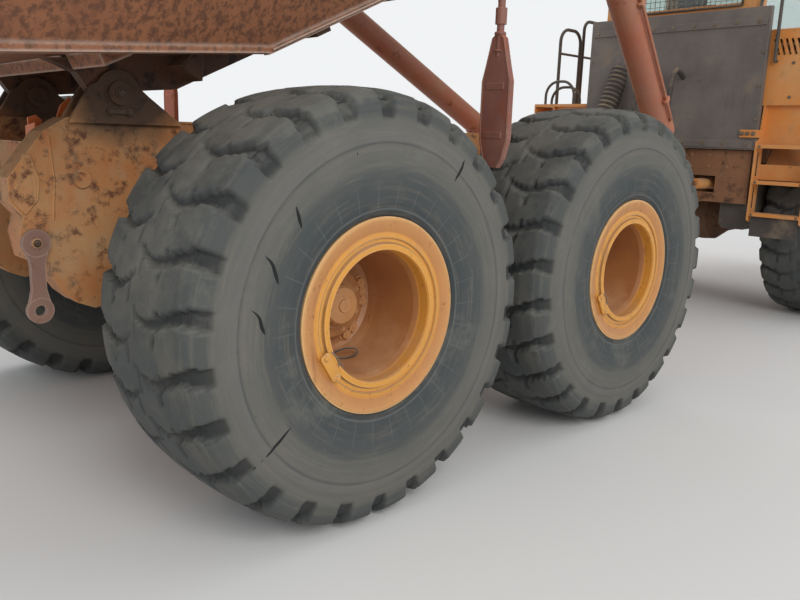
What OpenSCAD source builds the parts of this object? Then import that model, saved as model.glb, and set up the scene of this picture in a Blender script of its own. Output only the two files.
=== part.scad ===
// Articulated dump truck of the 40 tonne class, stored with its bed part raised.
// Millimetres. +X is forward, +Y is left, +Z is up. The origin is on the ground at the
// middle of the whole truck. Shapes are drawn with x measured from the rear axle.

/* [Wheels] */
// Height of the wheel centres, which is also the tyre radius
tyre_r = 920; // [860:5:960]
// Width of each tyre
tyre_w = 735; // [600:5:760]
// Distance between the left and right tyre middles
track = 2650; // [2550:10:2750]
// Depth of the tread lugs
lug_depth = 34; // [15:1:60]
// Radius of the rim flange
rim_r = 410; // [380:2:430]
// Radius of the axle spindle inside the hub
spindle_r = 70; // [50:1:90]

/* [Axles] */
// Rear axle to middle axle
tandem = 1950; // [1930:5:2050]
// Rear axle to front axle
wheelbase = 6450; // [6300:10:6700]

/* [Rear frame] */
// Height of the rail tops
frame_top_z = 1680; // [1640:2:1695]
// Height of the rail bottoms
frame_low_z = 1340; // [1300:5:1420]
// Middle of each rail from the centre line
rail_y = 460; // [430:2:480]
// Width of each rail
rail_w = 150; // [110:2:170]

/* [Bed] */
// Angle that the bed stands raised at
bed_raise = 25; // [0:1:60]
// Underside of the bed floor when it is lowered
floor_z = 1750; // [1740:2:1800]
// Half the width of the floor
floor_half = 880; // [800:5:920]
// Half the width of the bed at its rim
rim_half = 1660; // [1560:5:1680]
// Height of the side rim when lowered
rim_z = 3050; // [2900:10:3200]
// Height of the headboard when lowered
headboard_z = 3400; // [3200:10:3600]
// Slope of the tail floor
tail_slope = 19.5; // [14:0.5:24]
// Length of the floor ahead of its bend
floor_len = 3430; // [3200:10:3500]
// Length of the tail behind the bend
tail_len = 1770; // [1500:10:1900]
// Thickness of the floor plate
floor_t = 20; // [12:1:30]
// Thickness of the side and front plates
side_t = 14; // [10:1:24]

/* [Hoist] */
// Outer radius of each hoist barrel
hoist_r = 98; // [80:1:100]
// Radius of each hoist rod
hoist_rod_r = 62; // [50:1:70]
// Length of each hoist barrel
hoist_barrel_len = 2860; // [2600:10:2950]

/* [Articulation] */
// Steering pivot ahead of the rear axle
pivot_x = 5000; // [4980:2:5020]
// Height of the rolling joint
roll_z = 1280; // [1260:2:1300]
// Radius of the rolling shaft
roll_r = 150; // [120:2:170]
// Radius of the steering pins
yaw_pin_r = 55; // [45:1:65]

/* [Cab] */
// Back face of the cab
cab_back_x = 5400; // [5380:5:5450]
// Length of the cab
cab_len = 1620; // [1500:10:1700]
// Half the width of the cab
cab_half = 790; // [720:5:820]
// Height of the cab floor
cab_floor_z = 1980; // [1940:5:2020]
// Height of the cab roof top
cab_top_z = 3680; // [3600:10:3750]
// Thickness of the cab walls
cab_wall = 60; // [40:2:80]
// Thickness of the glass
glass_t = 8; // [5:1:12]

/* [Nose] */
// Front of the bumper ahead of the rear axle
nose_x = 9400; // [9350:10:9550]
// Half the width of the bonnet
hood_half = 720; // [660:5:760]

/* [Fits] */
// Gap round pins and shafts
pin_gap = 0.08; // [0.02:0.02:0.1]
// Gap between faces that slide
face_gap = 6; // [5:0.5:10]
// Gap between pieces seated on each other
seat_gap = 0.3; // [0.1:0.1:1]

/* [Hidden] */

paint = "#DE8A2E";
rim_paint = "#E9A94A";
frame_paint = "#B97B45";
bed_paint = "#A86A3C";
ejector_paint = "#E06A35";
rubber = "#2E2D2C";
dark_steel = "#3A3A3C";
bright_steel = "#C9CCCE";
glass_tint = "#9FB8C0";

half_track = track / 2;
tyre_out_y = half_track + tyre_w / 2;
tyre_in_y = half_track - tyre_w / 2;
tandem_mid = tandem / 2;
rail_out_y = rail_y + rail_w / 2;
rail_in_y = rail_y - rail_w / 2;
// Inner and outer ends of the treads, just behind the front tyre
step_y = [tyre_in_y - 21.5, tyre_out_y - 272.5];

// Bed hinge, with x and z from the rear axle and the ground
hinge = [-580, 1790];
bend_x = 20;
floor_front_x = bend_x + floor_len;
tail_x = bend_x - tail_len;
tail_z = floor_z + tail_len * tan(tail_slope);
tail_rim_z = tail_z + 350;
front_top_x = floor_front_x + 450;
flare = (rim_half - floor_half) / (rim_z - floor_z);

function turned(p, a) = [p[0] * cos(a) - p[1] * sin(a), p[0] * sin(a) + p[1] * cos(a)];
function raised(p) = hinge + turned(p - hinge, bed_raise);
function bed_half(z) = floor_half + (z - floor_z) * flare;

rear_end_x = min(raised([tail_x, tail_rim_z])[0], raised([tail_x, tail_z])[0]);
rear_axle_x = -(nose_x + rear_end_x) / 2;

// Hoist ends: the lower eye on the frame, and the upper eye on the lowered bed
hoist_base = [4710, 620, 1000];
hoist_top_low_z = 2420;
hoist_inset = 143;
hoist_top_lowered = [1642, rim_half - hoist_inset, hoist_top_low_z];
hoist_top_xz = raised([hoist_top_lowered[0], hoist_top_lowered[2]]);
hoist_top = [hoist_top_xz[0], hoist_top_lowered[1], hoist_top_xz[1]];
hoist_line = hoist_base - hoist_top;
hoist_len = norm(hoist_line);
hoist_pin_r = 38;
hoist_eye_r = 85;
hoist_eye_w = 110;

// Rock ejector pivots on the lowered bed
ejector_pin_xz = raised([975, 1930]);
ejector_inset = 90;
ejector_y = rim_half - ejector_inset;
ejector_pin_r = 14;

module from_rear_axle() translate([rear_axle_x, 0, 0]) children();

module on_side(side) {
    if (side > 0) children();
    else mirror([0, 1, 0]) children();
}

module both_sides() for (side = [1, -1]) on_side(side) children();

// Flat outline in x and z, given a thickness across y
module across(y0, y1) translate([0, y1, 0]) rotate([90, 0, 0]) linear_extrude(y1 - y0) children();

module disc_y(p, r, y0, y1, fn = 64)
    translate([p[0], y0, p[1]]) rotate([-90, 0, 0]) cylinder(r = r, h = y1 - y0, $fn = fn);

module box(x, y, z) translate([x[0], y[0], z[0]]) cube([x[1] - x[0], y[1] - y[0], z[1] - z[0]]);

function heading(v) = [0, acos(v[2] / norm(v)), atan2(v[1], v[0])];

module rod(a, b, r, fn = 32) translate(a) rotate(heading(b - a)) cylinder(r = r, h = norm(b - a), $fn = fn);

module tube_path(points, r, fn = 24) {
    for (i = [0:len(points) - 2]) rod(points[i], points[i + 1], r, fn);
    for (i = [1:len(points) - 2]) translate(points[i]) sphere(r = r, $fn = fn);
}

module raised_bed() translate([hinge[0], 0, hinge[1]]) rotate([0, -bed_raise, 0])
    translate([-hinge[0], 0, -hinge[1]]) children();

// Tyres: one revolved carcass with staggered shoulder blocks
bead_r = rim_r - 85;
tyre_mid_r = 600;
lug_count = 26;

// Half section from the bead to the crown: [radius, half width]
tyre_side = [[bead_r, tyre_w / 2 - 145], [bead_r + 5, tyre_w / 2 - 100], [bead_r + 27, tyre_w / 2 - 68],
    [rim_r + 2, tyre_w / 2 - 36], [bead_r + 150, tyre_w / 2 - 16], [tyre_mid_r - 40, tyre_w / 2 - 3],
    [tyre_mid_r + 70, tyre_w / 2], [tyre_r - 175, tyre_w / 2 - 4], [tyre_r - 120, tyre_w / 2 - 10],
    [tyre_r - 75, tyre_w / 2 - 20], [tyre_r - 46, tyre_w / 2 - 36], [tyre_r - 25, tyre_w / 2 - 66],
    [tyre_r - 12, tyre_w / 2 - 127], [tyre_r - 3, tyre_w / 2 - 237], [tyre_r, tyre_w / 2 - 330]];
module tyre_section() polygon(concat(tyre_side,
    [for (i = [len(tyre_side) - 1:-1:0]) [tyre_side[i][0], -tyre_side[i][1]]]));

module tyre_hollow() polygon([[bead_r - 1, -220], [bead_r + 60, -240], [620, -300], [800, -270],
    [840, -180], [840, 180], [800, 270], [620, 300], [bead_r + 60, 240], [bead_r - 1, 220]]);

// The room that the rim flanges take beside the beads
module flange_room() for (s = [1, -1]) polygon([[bead_r - 20, s * (rim_out - 72)],
    [bead_r + 2, s * (rim_out - 64)], [rim_r + 2, s * (rim_out - 28)], [rim_r + 2, s * tyre_w],
    [bead_r - 20, s * tyre_w]]);

// Grooves between the lugs: each follows the crown out and over the shoulder
lug_pitch = 360 / lug_count;
groove_w = 52;
groove_slant = 15;
shoulder_y = tyre_w / 2 - 66;
module groove_depth() polygon([[tyre_w / 2 - 330, tyre_r - lug_depth * 0.5],
    [tyre_w / 2 - 127, tyre_r - 12 - lug_depth], [shoulder_y, tyre_r - 25 - lug_depth * 1.2],
    [tyre_w / 2 - 30, tyre_r - 118], [tyre_w / 2 + 40, tyre_r - 118], [tyre_w / 2 + 40, tyre_r + 20],
    [tyre_w / 2 - 330, tyre_r + 20]]);
module side_grooves() for (i = [0:lug_count - 1]) rotate([0, i * lug_pitch, 0])
    translate([0, shoulder_y, 0]) rotate([0, 0, groove_slant]) translate([0, -shoulder_y, 0])
        along_x(-groove_w / 2, groove_w / 2) groove_depth();

module tyre() color(rubber) difference() {
    rotate([-90, 0, 0]) rotate_extrude($fn = 96) difference() {
        tyre_section();
        tyre_hollow();
        flange_room();
    }
    side_grooves();
    rotate([0, lug_pitch / 2, 0]) mirror([0, 1, 0]) side_grooves();
}

// Wheels: rim, dished disc and planetary hub, with the hub bored for the spindle
rim_out = tyre_w / 2 - 22;
disc_y_out = -20;
hub_r = 165;
rim_lip = bead_r - 52;
// Rim section: dished flange, bead seat band, lock ring, then the tapered barrel and disc
rim_face = [[rim_lip, rim_out - 14], [rim_lip + 4, rim_out - 4], [rim_lip + 26, rim_out - 6],
    [rim_lip + 30, rim_out - 18], [rim_lip + 46, rim_out - 20], [rim_lip + 50, rim_out - 10],
    [rim_lip + 72, rim_out - 14], [rim_r - 12, rim_out], [rim_r, rim_out - 4]];
module wheel() color(rim_paint) difference() {
    union() {
        rotate([-90, 0, 0]) rotate_extrude($fn = 96) polygon(concat(rim_face, [
            [rim_r, rim_out - 26], [bead_r + 2, rim_out - 62], [bead_r - seat_gap, rim_out - 70],
            [bead_r - seat_gap, -rim_out + 70], [bead_r + 2, -rim_out + 62], [rim_r, -rim_out + 26],
            [rim_r, -rim_out], [bead_r - 8, -rim_out + 26], [bead_r - 28, -rim_out + 30],
            [bead_r - 28, disc_y_out - 90], [hub_r - 10, disc_y_out - 40], [hub_r - 10, disc_y_out],
            [hub_r + 45, disc_y_out], [hub_r + 62, disc_y_out + 12], [rim_lip - 34, disc_y_out + 60],
            [rim_lip - 12, rim_out - 90], [rim_lip, rim_out - 60]]));
        rotate([-90, 0, 0]) rotate_extrude($fn = 64) polygon([
            [0, disc_y_out - 190], [hub_r, disc_y_out - 190], [hub_r, disc_y_out + 30],
            [hub_r - 14, disc_y_out + 44], [112, disc_y_out + 48], [108, disc_y_out + 66],
            [94, disc_y_out + 68], [90, disc_y_out + 96], [78, disc_y_out + 108],
            [30, disc_y_out + 112], [26, disc_y_out + 122], [0, disc_y_out + 122]]);
    }
    translate([0, disc_y_out - 191, 0]) rotate([-90, 0, 0])
        cylinder(r = spindle_r + pin_gap, h = 161, $fn = 48);
}

axle_places = [0, tandem, wheelbase];
module at_wheel(axle, side) from_rear_axle() on_side(side)
    translate([axle_places[axle], half_track, tyre_r]) children();

axle_tube_r = 130;
// Axles: a banjo housing with tubes, brake drums and spindles
module axle_housing() {
    rotate([-90, 0, 0]) rotate_extrude($fn = 64) polygon([
        [0, -430], [150, -430], [190, -300], [290, -170], [300, -60], [300, 60], [290, 170],
        [190, 300], [150, 430], [0, 430]]);
    both_sides() rotate([-90, 0, 0]) rotate_extrude($fn = 64) polygon([
        [0, 420], [axle_tube_r, 420], [axle_tube_r, 700], [190, 720], [215, 760], [215, tyre_in_y + 90],
        [150, tyre_in_y + 110], [spindle_r, tyre_in_y + 110],
        [spindle_r, half_track + disc_y_out - 31], [0, half_track + disc_y_out - 31]]);
}

module axle_at(axle) color(dark_steel) from_rear_axle()
    translate([axle_places[axle], 0, tyre_r]) {
        axle_housing();
        translate([270, 0, 60]) rotate([0, 90, 0]) cylinder(r = 110, h = 140, $fn = 40);
    }

// Bogie beams: one each side, pivoted on the frame between the tandem axles
bogie_z = 1200;
bogie_y = [602, 692];
bogie_seat_z = tyre_r + axle_tube_r + seat_gap;
module bogie_beams() color(frame_paint) from_rear_axle() both_sides() {
    across(bogie_y[0], bogie_y[1]) difference() {
        polygon([[-150, bogie_seat_z], [-110, 1150], [500, 1230], [tandem_mid - 160, 1320],
            [tandem_mid + 160, 1320], [tandem - 500, 1230], [tandem + 110, 1150],
            [tandem + 150, bogie_seat_z], [tandem - 160, bogie_seat_z], [tandem - 400, 1100],
            [400, 1100], [160, bogie_seat_z]]);
        translate([tandem_mid, bogie_z]) circle(r = 70, $fn = 48);
    }
}

// Rear frame: two box rails joined by cross members, with the tail brackets,
// the hinge ears, the rolling joint's housing and the hoist feet
hinge_pin_r = 50;
hinge_boss_r = 92;
web_y = [470, 530];
ear_t = 28;
frame_nose_x = 4150;

module rail_outline() polygon([
    [-900, frame_top_z - 60], [-800, frame_top_z], [frame_nose_x, frame_top_z],
    [frame_nose_x, 1000], [3700, 1050], [3200, frame_low_z], [-250, frame_low_z],
    [-420, frame_low_z - 60], [-560, 1240], [-620, 1120], [-600, 940], [-650, 860], [-720, 845],
    [-800, 880], [-850, 925], [-905, 1010], [-900, 1070], [-1000, 1090], [-1020, 1200], [-1000, 1270], [-1050, 1330],
    [-1050, 1430]]);

module ear_outline() difference() {
    union() {
        translate(hinge) circle(r = hinge_boss_r + 6, $fn = 48);
        polygon([[-800, frame_top_z - 20], [-700, 1820], [-560, 1880], [-440, 1780],
            [-280, frame_top_z - 20]]);
    }
    translate(hinge) circle(r = hinge_pin_r + pin_gap, $fn = 48);
}

// Round boss and stiffening gusset on the outer face of each tail bracket
tail_boss = [-750, 1420];
module tail_gusset() across(rail_out_y - 5, rail_out_y + 12) polygon([[-1040, 1340], [-985, 1520],
    [-960, 1520], [-930, 1420], [-940, 1340], [-990, 1280]]);

module rear_frame() color(frame_paint) from_rear_axle() difference() {
    union() {
        both_sides() across(rail_in_y, rail_out_y) rail_outline();
        both_sides() for (y = [web_y[0] - face_gap - ear_t, web_y[1] + face_gap])
            across(y, y + ear_t) ear_outline();
        both_sides() disc_y(hinge, hinge_pin_r, web_y[0] - face_gap - ear_t - 20,
            web_y[1] + face_gap + ear_t + 20);
        for (x = [-880, 700, 2600])
            box([x, x + 150], [-rail_in_y - 1, rail_in_y + 1], [frame_low_z + 40, frame_top_z - 110]);
        box([frame_nose_x - 100, frame_nose_x + 60], [-rail_out_y, rail_out_y], [980, frame_top_z]);
        translate([frame_nose_x - 50, 0, roll_z]) rotate([0, 90, 0])
            cylinder(r = roll_r + 75, h = 500, $fn = 64);
        both_sides() disc_y([tandem_mid, bogie_z], 70 - pin_gap, rail_out_y - 5, bogie_y[1] + 30);
        both_sides() across(rail_out_y - 5, bogie_y[0] - face_gap)
            polygon([[tandem_mid - 260, frame_low_z + 120], [tandem_mid - 110, bogie_z - 90],
                [tandem_mid + 110, bogie_z - 90], [tandem_mid + 260, frame_low_z + 120]]);
        both_sides() disc_y(tail_boss, 36, rail_out_y - 5, rail_out_y + 14, 40);
        both_sides() tail_gusset();
        mirror([0, 1, 0]) disc_y(link_top, 20, rail_out_y - 5, rail_out_y + 44, 32);
        mirror([0, 1, 0]) disc_y(link_top, 40, rail_out_y - 60, rail_out_y + 7.7, 32);
        both_sides() across(rail_in_y + 20, rail_out_y) polygon([[frame_nose_x, 1420],
            [4700, 1110], [hoist_base[0] + 100, 1060], [hoist_base[0] + 100, 930],
            [4640, 900], [frame_nose_x, 990]]);
    }
    translate([frame_nose_x - 60, 0, roll_z]) rotate([0, 90, 0])
        cylinder(r = roll_r + pin_gap, h = 520, $fn = 64);
}

// Tandem axles, carried by the bogie beams
module tandem_axles() for (axle = [0, 1]) axle_at(axle);

// Bed: plates folded to one cross-section and one side outline
over = 60;

module along_x(x0, x1) translate([x0, 0, 0]) rotate([90, 0, 90]) linear_extrude(x1 - x0) children();

module bed_cross(inset, low) polygon([
    [-(floor_half - inset), low], [floor_half - inset, low],
    [rim_half - inset, rim_z], [rim_half - inset, headboard_z + over],
    [-(rim_half - inset), headboard_z + over], [-(rim_half - inset), rim_z]]);

module bed_side_out() polygon([
    [bend_x, floor_z], [floor_front_x, floor_z], [front_top_x, headboard_z],
    [front_top_x - 160, headboard_z], [front_top_x - 620, rim_z], [bend_x + 80, rim_z],
    [tail_x, tail_rim_z], [tail_x, tail_z]]);

module bed_side_in() polygon([
    [bend_x, floor_z + floor_t], [floor_front_x - side_t, floor_z + floor_t],
    [front_top_x - side_t + over * 450 / (headboard_z - floor_z), headboard_z + over],
    [tail_x - over, headboard_z + over],
    [tail_x - over, tail_z + over * tan(tail_slope) + floor_t / cos(tail_slope)]]);

module bed_shell() difference() {
    intersection() {
        along_x(tail_x, front_top_x) bed_cross(0, floor_z);
        across(-rim_half - 1, rim_half + 1) bed_side_out();
    }
    intersection() {
        along_x(tail_x - over, front_top_x) bed_cross(side_t * sqrt(1 + flare * flare), floor_z);
        across(-rim_half - 1, rim_half + 1) bed_side_in();
    }
}

module beam(a, b, w, h) translate(a) rotate(heading(b - a))
    translate([-h / 2, -w / 2, 0]) cube([h, w, norm(b - a)]);

rim_rail_y = rim_half - 8;
module rim_rail() {
    tail_half = bed_half(tail_rim_z) - 8;
    beam([front_top_x - 560, rim_rail_y, rim_z - 40], [bend_x + 70, rim_rail_y, rim_z - 40], 70, 100);
    beam([bend_x + 90, rim_rail_y, rim_z - 40], [tail_x + 5, tail_half, tail_rim_z - 40], 70, 100);
}

module lip_rail() {
    beam([bend_x - 10, floor_half - 8, floor_z - 6], [floor_front_x, floor_half - 8, floor_z - 6], 44, 30);
    beam([bend_x + 10, floor_half - 8, floor_z - 6],
        [tail_x, bed_half(tail_z) - 8, tail_z - 6], 44, 30);
}

module dump_bed() color(bed_paint) from_rear_axle() raised_bed() {
    bed_shell();
    both_sides() {
        rim_rail();
        lip_rail();
        ejector_hanger();
    }
    for (y = [-900, -300, 300, 900]) front_rib(y);
    tail_beam();
}

// Cross beam under the tail floor, in three lengths between and beside the hinge webs
tail_beam_x = -640;
tail_beam_w = 130;
module tail_beam() {
    low = floor_z + (bend_x - tail_beam_x) * tan(tail_slope);
    for (part = [[-floor_half + 30, -web_y[1] - seat_gap], [-web_y[0] + seat_gap, web_y[0] - seat_gap],
        [web_y[1] + seat_gap, floor_half - 30]]) across(part[0], part[1]) polygon([
        [tail_beam_x - tail_beam_w / 2, low + tail_beam_w / 2 * tan(tail_slope) + 4],
        [tail_beam_x - tail_beam_w / 2, low - 40], [tail_beam_x + tail_beam_w / 2, low - 40],
        [tail_beam_x + tail_beam_w / 2, low - tail_beam_w / 2 * tan(tail_slope) + 4]]);
}

// Upright rib on the front plate
module front_rib(y) across(y - 40, y + 40) polygon([
    [floor_front_x - 1, floor_z + 60], [floor_front_x + 40, floor_z + 60],
    [front_top_x + 40, headboard_z - 60], [front_top_x - 8, headboard_z - 20]]);

// Gusset below the flare that carries the ejector's pin
ejector_hanger_t = 24;
module ejector_hanger() {
    pin = [975, 1930];
    translate([pin[0] - ejector_hanger_t / 2, 0, 0]) rotate([90, 0, 90]) linear_extrude(ejector_hanger_t)
        polygon([[ejector_y - 310, bed_half_z(ejector_y - 310)], [ejector_y - 90, 2000], [ejector_y + 44, 1985],
            [ejector_y + 62, bed_half_z(ejector_y + 62)]]);
    for (y = [ejector_y - 44, ejector_y + 28]) across(y, y + 16) difference() {
        union() {
            translate(pin) circle(r = 34, $fn = 32);
            translate([pin[0] - 34, pin[1]]) square([68, 90]);
        }
        translate(pin) circle(r = ejector_pin_r + pin_gap, $fn = 32);
    }
    disc_y(pin, ejector_pin_r, ejector_y - 52, ejector_y + 52, 32);
}
function bed_half_z(y) = floor_z + (y - floor_half) / flare;

// Bed underframe: long beams, cross ribs, hinge webs and the hoist cheeks
module web_outline() difference() {
    union() {
        translate(hinge) circle(r = hinge_boss_r, $fn = 48);
        polygon([[hinge[0] - 92, hinge[1]], [hinge[0] - 120, hinge[1] + 140],
            [hinge[0] - 170, hinge[1] + 195], [hinge[0] - 215, hinge[1] + 238], [bend_x, floor_z],
            [600, floor_z], [600, frame_top_z + 15], [-300, frame_top_z + 18],
            [hinge[0] + 88, hinge[1] - 25]]);
    }
    translate(hinge) circle(r = hinge_pin_r + pin_gap, $fn = 48);
}

// Raised collar round the hinge bore, as wide as the gap to the frame's ears allows
module hinge_collar(y) across(y, y + face_gap) difference() {
    translate(hinge) circle(r = hinge_boss_r - 22, $fn = 48);
    translate(hinge) circle(r = hinge_pin_r + pin_gap, $fn = 48);
}
module hinge_gusset() polygon([[bend_x - 260, floor_z + 260 * tan(tail_slope) - 8], [bend_x - 200, floor_z + 60],
    [bend_x - 260, floor_z - 40], [bend_x - 330, floor_z + 60]]);

module bed_underframe() color(bed_paint) from_rear_axle() {
    raised_bed() {
        both_sides() {
            across(web_y[0], web_y[1]) web_outline();
            for (y = [web_y[0] - face_gap + 1, web_y[1] - 1]) hinge_collar(y);
            across(web_y[1] - 1, web_y[1] + 150) hinge_gusset();
            box([601, floor_front_x - 40], [web_y[0] - 60, web_y[1] + 60], [frame_top_z + 15, floor_z]);
        }
        for (x = [340:560:3200]) for (part = [[-840, -web_y[1] - 62], [-web_y[0] + 62, web_y[0] - 62],
            [web_y[1] + 62, 840]]) box([x, x + 90], part, [floor_z - 50, floor_z]);
        box([-260, -200], [-web_y[0], web_y[0]], [floor_z - 30, floor_z + 60]);
    }
    difference() {
        both_sides() hoist_cheeks();
        raised_bed() along_x(tail_x, front_top_x) bed_cross(0, floor_z);
    }
}

// Hoist cylinders: the barrel hangs from the bed and its rod reaches down to the frame
function unit(v) = v / norm(v);
hoist_u = unit(hoist_line);
hoist_flat = unit([0, 1, 0] - hoist_u * hoist_u[1]);
hoist_roll = 5;
hoist_axis = hoist_flat * cos(hoist_roll) + cross(hoist_u, hoist_flat) * sin(hoist_roll);
hoist_side = cross(hoist_axis, hoist_u);

module in_frame(o, x, y, z) multmatrix([
    [x[0], y[0], z[0], o[0]], [x[1], y[1], z[1], o[1]], [x[2], y[2], z[2], o[2]], [0, 0, 0, 1]])
    children();

module at_hoist() in_frame(hoist_top, hoist_side, hoist_axis, hoist_u) children();

module hoist_eye(r, w) rotate([90, 0, 0]) cylinder(r = r, h = w, center = true, $fn = 48);

// The cheeks reach up to where the flare stands over their outer face
cheek_rise = (hoist_top_lowered[1] + 95 - floor_half) / flare - (hoist_top_low_z - floor_z) + 20;
module hoist_cheeks() at_hoist() for (y = [hoist_eye_w / 2 + face_gap, -hoist_eye_w / 2 - face_gap - 30]) {
    translate([0, y, 0]) cheek();
    rotate([90, 0, 0]) cylinder(r = hoist_pin_r, h = hoist_eye_w + 90, center = true, $fn = 48);
}

module cheek() rotate([90, 0, 0]) translate([0, 0, -30]) linear_extrude(30) difference() {
    union() {
        circle(r = 80, $fn = 48);
        polygon([[-80, 0], [80, 0], [170, -cheek_rise + 130], [-80, -cheek_rise]]);
    }
}

hoist_wall = 14;
hoist_start = hoist_eye_r + 10;
module hoist_barrel() color(paint) at_hoist() difference() {
    union() {
        hoist_eye(hoist_eye_r, hoist_eye_w);
        translate([0, 0, 60]) cylinder(r = hoist_eye_w / 2 - 5, h = 60, $fn = 48);
        translate([0, 0, hoist_start]) cylinder(r = hoist_r, h = hoist_barrel_len - hoist_start, $fn = 64);
        translate([0, 0, hoist_barrel_len - 20]) cylinder(r = hoist_r + 10, h = 80, $fn = 64);
    }
    hoist_eye_bore();
    translate([0, 0, hoist_start + 30]) cylinder(r = hoist_r - hoist_wall,
        h = hoist_barrel_len - hoist_start - 30, $fn = 64);
    translate([0, 0, hoist_barrel_len - 10]) cylinder(r = hoist_rod_r + pin_gap, h = 200, $fn = 64);
}

module hoist_eye_bore() rotate([90, 0, 0])
    cylinder(r = hoist_pin_r + pin_gap, h = hoist_eye_w + 2, center = true, $fn = 48);

hoist_rod_len = 3180;
module hoist_rod() color(bright_steel) at_hoist() {
    translate([0, 0, hoist_len - hoist_rod_len]) cylinder(r = hoist_rod_r, h = hoist_rod_len - 60, $fn = 64);
    translate([0, 0, hoist_len - hoist_rod_len])
        cylinder(r = hoist_r - hoist_wall - pin_gap, h = 70, $fn = 64);
    translate([0, 0, hoist_len]) difference() {
        hoist_eye(hoist_eye_r - 5, hoist_eye_w - 10);
        hoist_eye_bore();
    }
    translate([0, 0, hoist_len]) rotate([90, 0, 0])
        cylinder(r = hoist_pin_r, h = hoist_eye_w + 10, center = true, $fn = 48);
}

// Rock ejectors hang between the tandem tyres
ejector_len = 1060;
ejector_bar_r = 17;
ejector_blade_z = -500;
// Blade outline, hung below its bar: [across, along]
module ejector_blade() polygon([[-34, ejector_blade_z + 18], [-18, ejector_blade_z + 36],
    [18, ejector_blade_z + 36], [34, ejector_blade_z + 18], [62, ejector_blade_z - 90],
    [84, ejector_blade_z - 170], [84, -ejector_len + 130], [58, -ejector_len + 40],
    [30, -ejector_len], [-30, -ejector_len], [-58, -ejector_len + 40], [-84, -ejector_len + 130],
    [-84, ejector_blade_z - 170], [-62, ejector_blade_z - 90]]);
module ejector() color(ejector_paint) {
    rotate([-90, 0, 0]) translate([0, 0, -22]) difference() {
        cylinder(r = 30, h = 44, $fn = 32);
        translate([0, 0, -1]) cylinder(r = ejector_pin_r + pin_gap, h = 46, $fn = 32);
    }
    rod([0, 0, -28], [0, 0, ejector_blade_z - 60], ejector_bar_r, 24);
    rod([0, 0, ejector_blade_z + 150], [0, 0, ejector_blade_z + 80], ejector_bar_r + 9, 24);
    translate([0, 0, ejector_blade_z + 40]) rotate_extrude($fn = 32)
        translate([ejector_bar_r + 2, 0]) circle(r = 8, $fn = 16);
    rotate([90, 0, 90]) translate([0, 0, -14]) linear_extrude(28) ejector_blade();
    for (z = [ejector_blade_z - 190, -ejector_len + 150])
        rotate([90, 0, 90]) translate([0, z, -18]) linear_extrude(36) square([96, 26], center = true);
}
module at_ejector(side) from_rear_axle() on_side(side)
    translate([ejector_pin_xz[0], ejector_y, ejector_pin_xz[1]]) children();

// Hitch: a shaft that rolls in the rear frame and carries the steering pins
hitch_half_h = 190;
ear_h = 80;
steer_arm = [-200, 330];
steer_base = [1000, 540];
module hitch() color(frame_paint) from_rear_axle() {
    translate([frame_nose_x - 40, 0, roll_z]) rotate([0, 90, 0]) cylinder(r = roll_r, h = 560, $fn = 64);
    translate([frame_nose_x + 450 + face_gap, 0, roll_z]) rotate([0, 90, 0])
        cylinder(r = roll_r + 40, h = 80, $fn = 64);
    box([4680, pivot_x], [-150, 150], [roll_z - hitch_half_h, roll_z + hitch_half_h]);
    translate([pivot_x, 0, roll_z]) {
        cylinder(r = 150, h = 2 * hitch_half_h, center = true, $fn = 64);
        cylinder(r = yaw_pin_r, h = 2 * (hitch_half_h + face_gap + ear_h) + 20, center = true, $fn = 48);
    }
    translate([pivot_x, 0, roll_z - 90]) linear_extrude(40) polygon([
        [steer_arm[0] - 60, -steer_arm[1] - 60], [steer_arm[0] + 60, -steer_arm[1] - 60],
        [steer_arm[0] + 70, 0], [steer_arm[0] + 60, steer_arm[1] + 60],
        [steer_arm[0] - 60, steer_arm[1] + 60], [steer_arm[0] - 90, 0]]);
}

// Steering cylinders
steer_r = 52;
steer_rod_r = 28;
steer_span = [steer_arm[0] - steer_base[0], steer_arm[1] - steer_base[1], 0];
steer_len = norm(steer_span);
steer_barrel_len = 720;
steer_rod_len = 850;
steer_pin_r = 24;
steer_eye_h = 70;
steer_start = 85;
module at_steer(side) from_rear_axle() on_side(side)
    translate([pivot_x + steer_base[0], steer_base[1], roll_z]) rotate(heading(steer_span)) children();

module steer_eye(h) rotate([0, 90, 0]) cylinder(r = 50, h = h, center = true, $fn = 40);
module steer_eye_bore() rotate([0, 90, 0])
    cylinder(r = steer_pin_r + pin_gap, h = steer_eye_h + 2, center = true, $fn = 40);

module steer_barrel() color(paint) difference() {
    union() {
        steer_eye(steer_eye_h);
        translate([0, 0, 35]) cylinder(r = 30, h = 60, $fn = 40);
        translate([0, 0, steer_start]) cylinder(r = steer_r, h = steer_barrel_len - steer_start, $fn = 48);
    }
    steer_eye_bore();
    translate([0, 0, steer_start + 10]) cylinder(r = steer_r - 12,
        h = steer_barrel_len - steer_start - 40, $fn = 48);
    translate([0, 0, steer_start + 10]) cylinder(r = steer_rod_r + pin_gap, h = steer_barrel_len, $fn = 48);
}

module steer_rod() color(bright_steel) {
    translate([0, 0, steer_len - steer_rod_len]) cylinder(r = steer_rod_r, h = steer_rod_len - 40, $fn = 40);
    translate([0, 0, steer_len - steer_rod_len]) cylinder(r = steer_r - 12 - pin_gap, h = 40, $fn = 48);
    translate([0, 0, steer_len]) difference() {
        steer_eye(steer_eye_h);
        steer_eye_bore();
    }
    translate([0, 0, steer_len]) rotate([0, 90, 0])
        cylinder(r = steer_pin_r, h = steer_eye_h + 8, center = true, $fn = 40);
}

// Front frame: rails, cross members, steering ears and cylinder brackets
front_rail_y = [220, 330];
neck_y = [160, 240];
front_rail_z = [1250, 1560];
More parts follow.
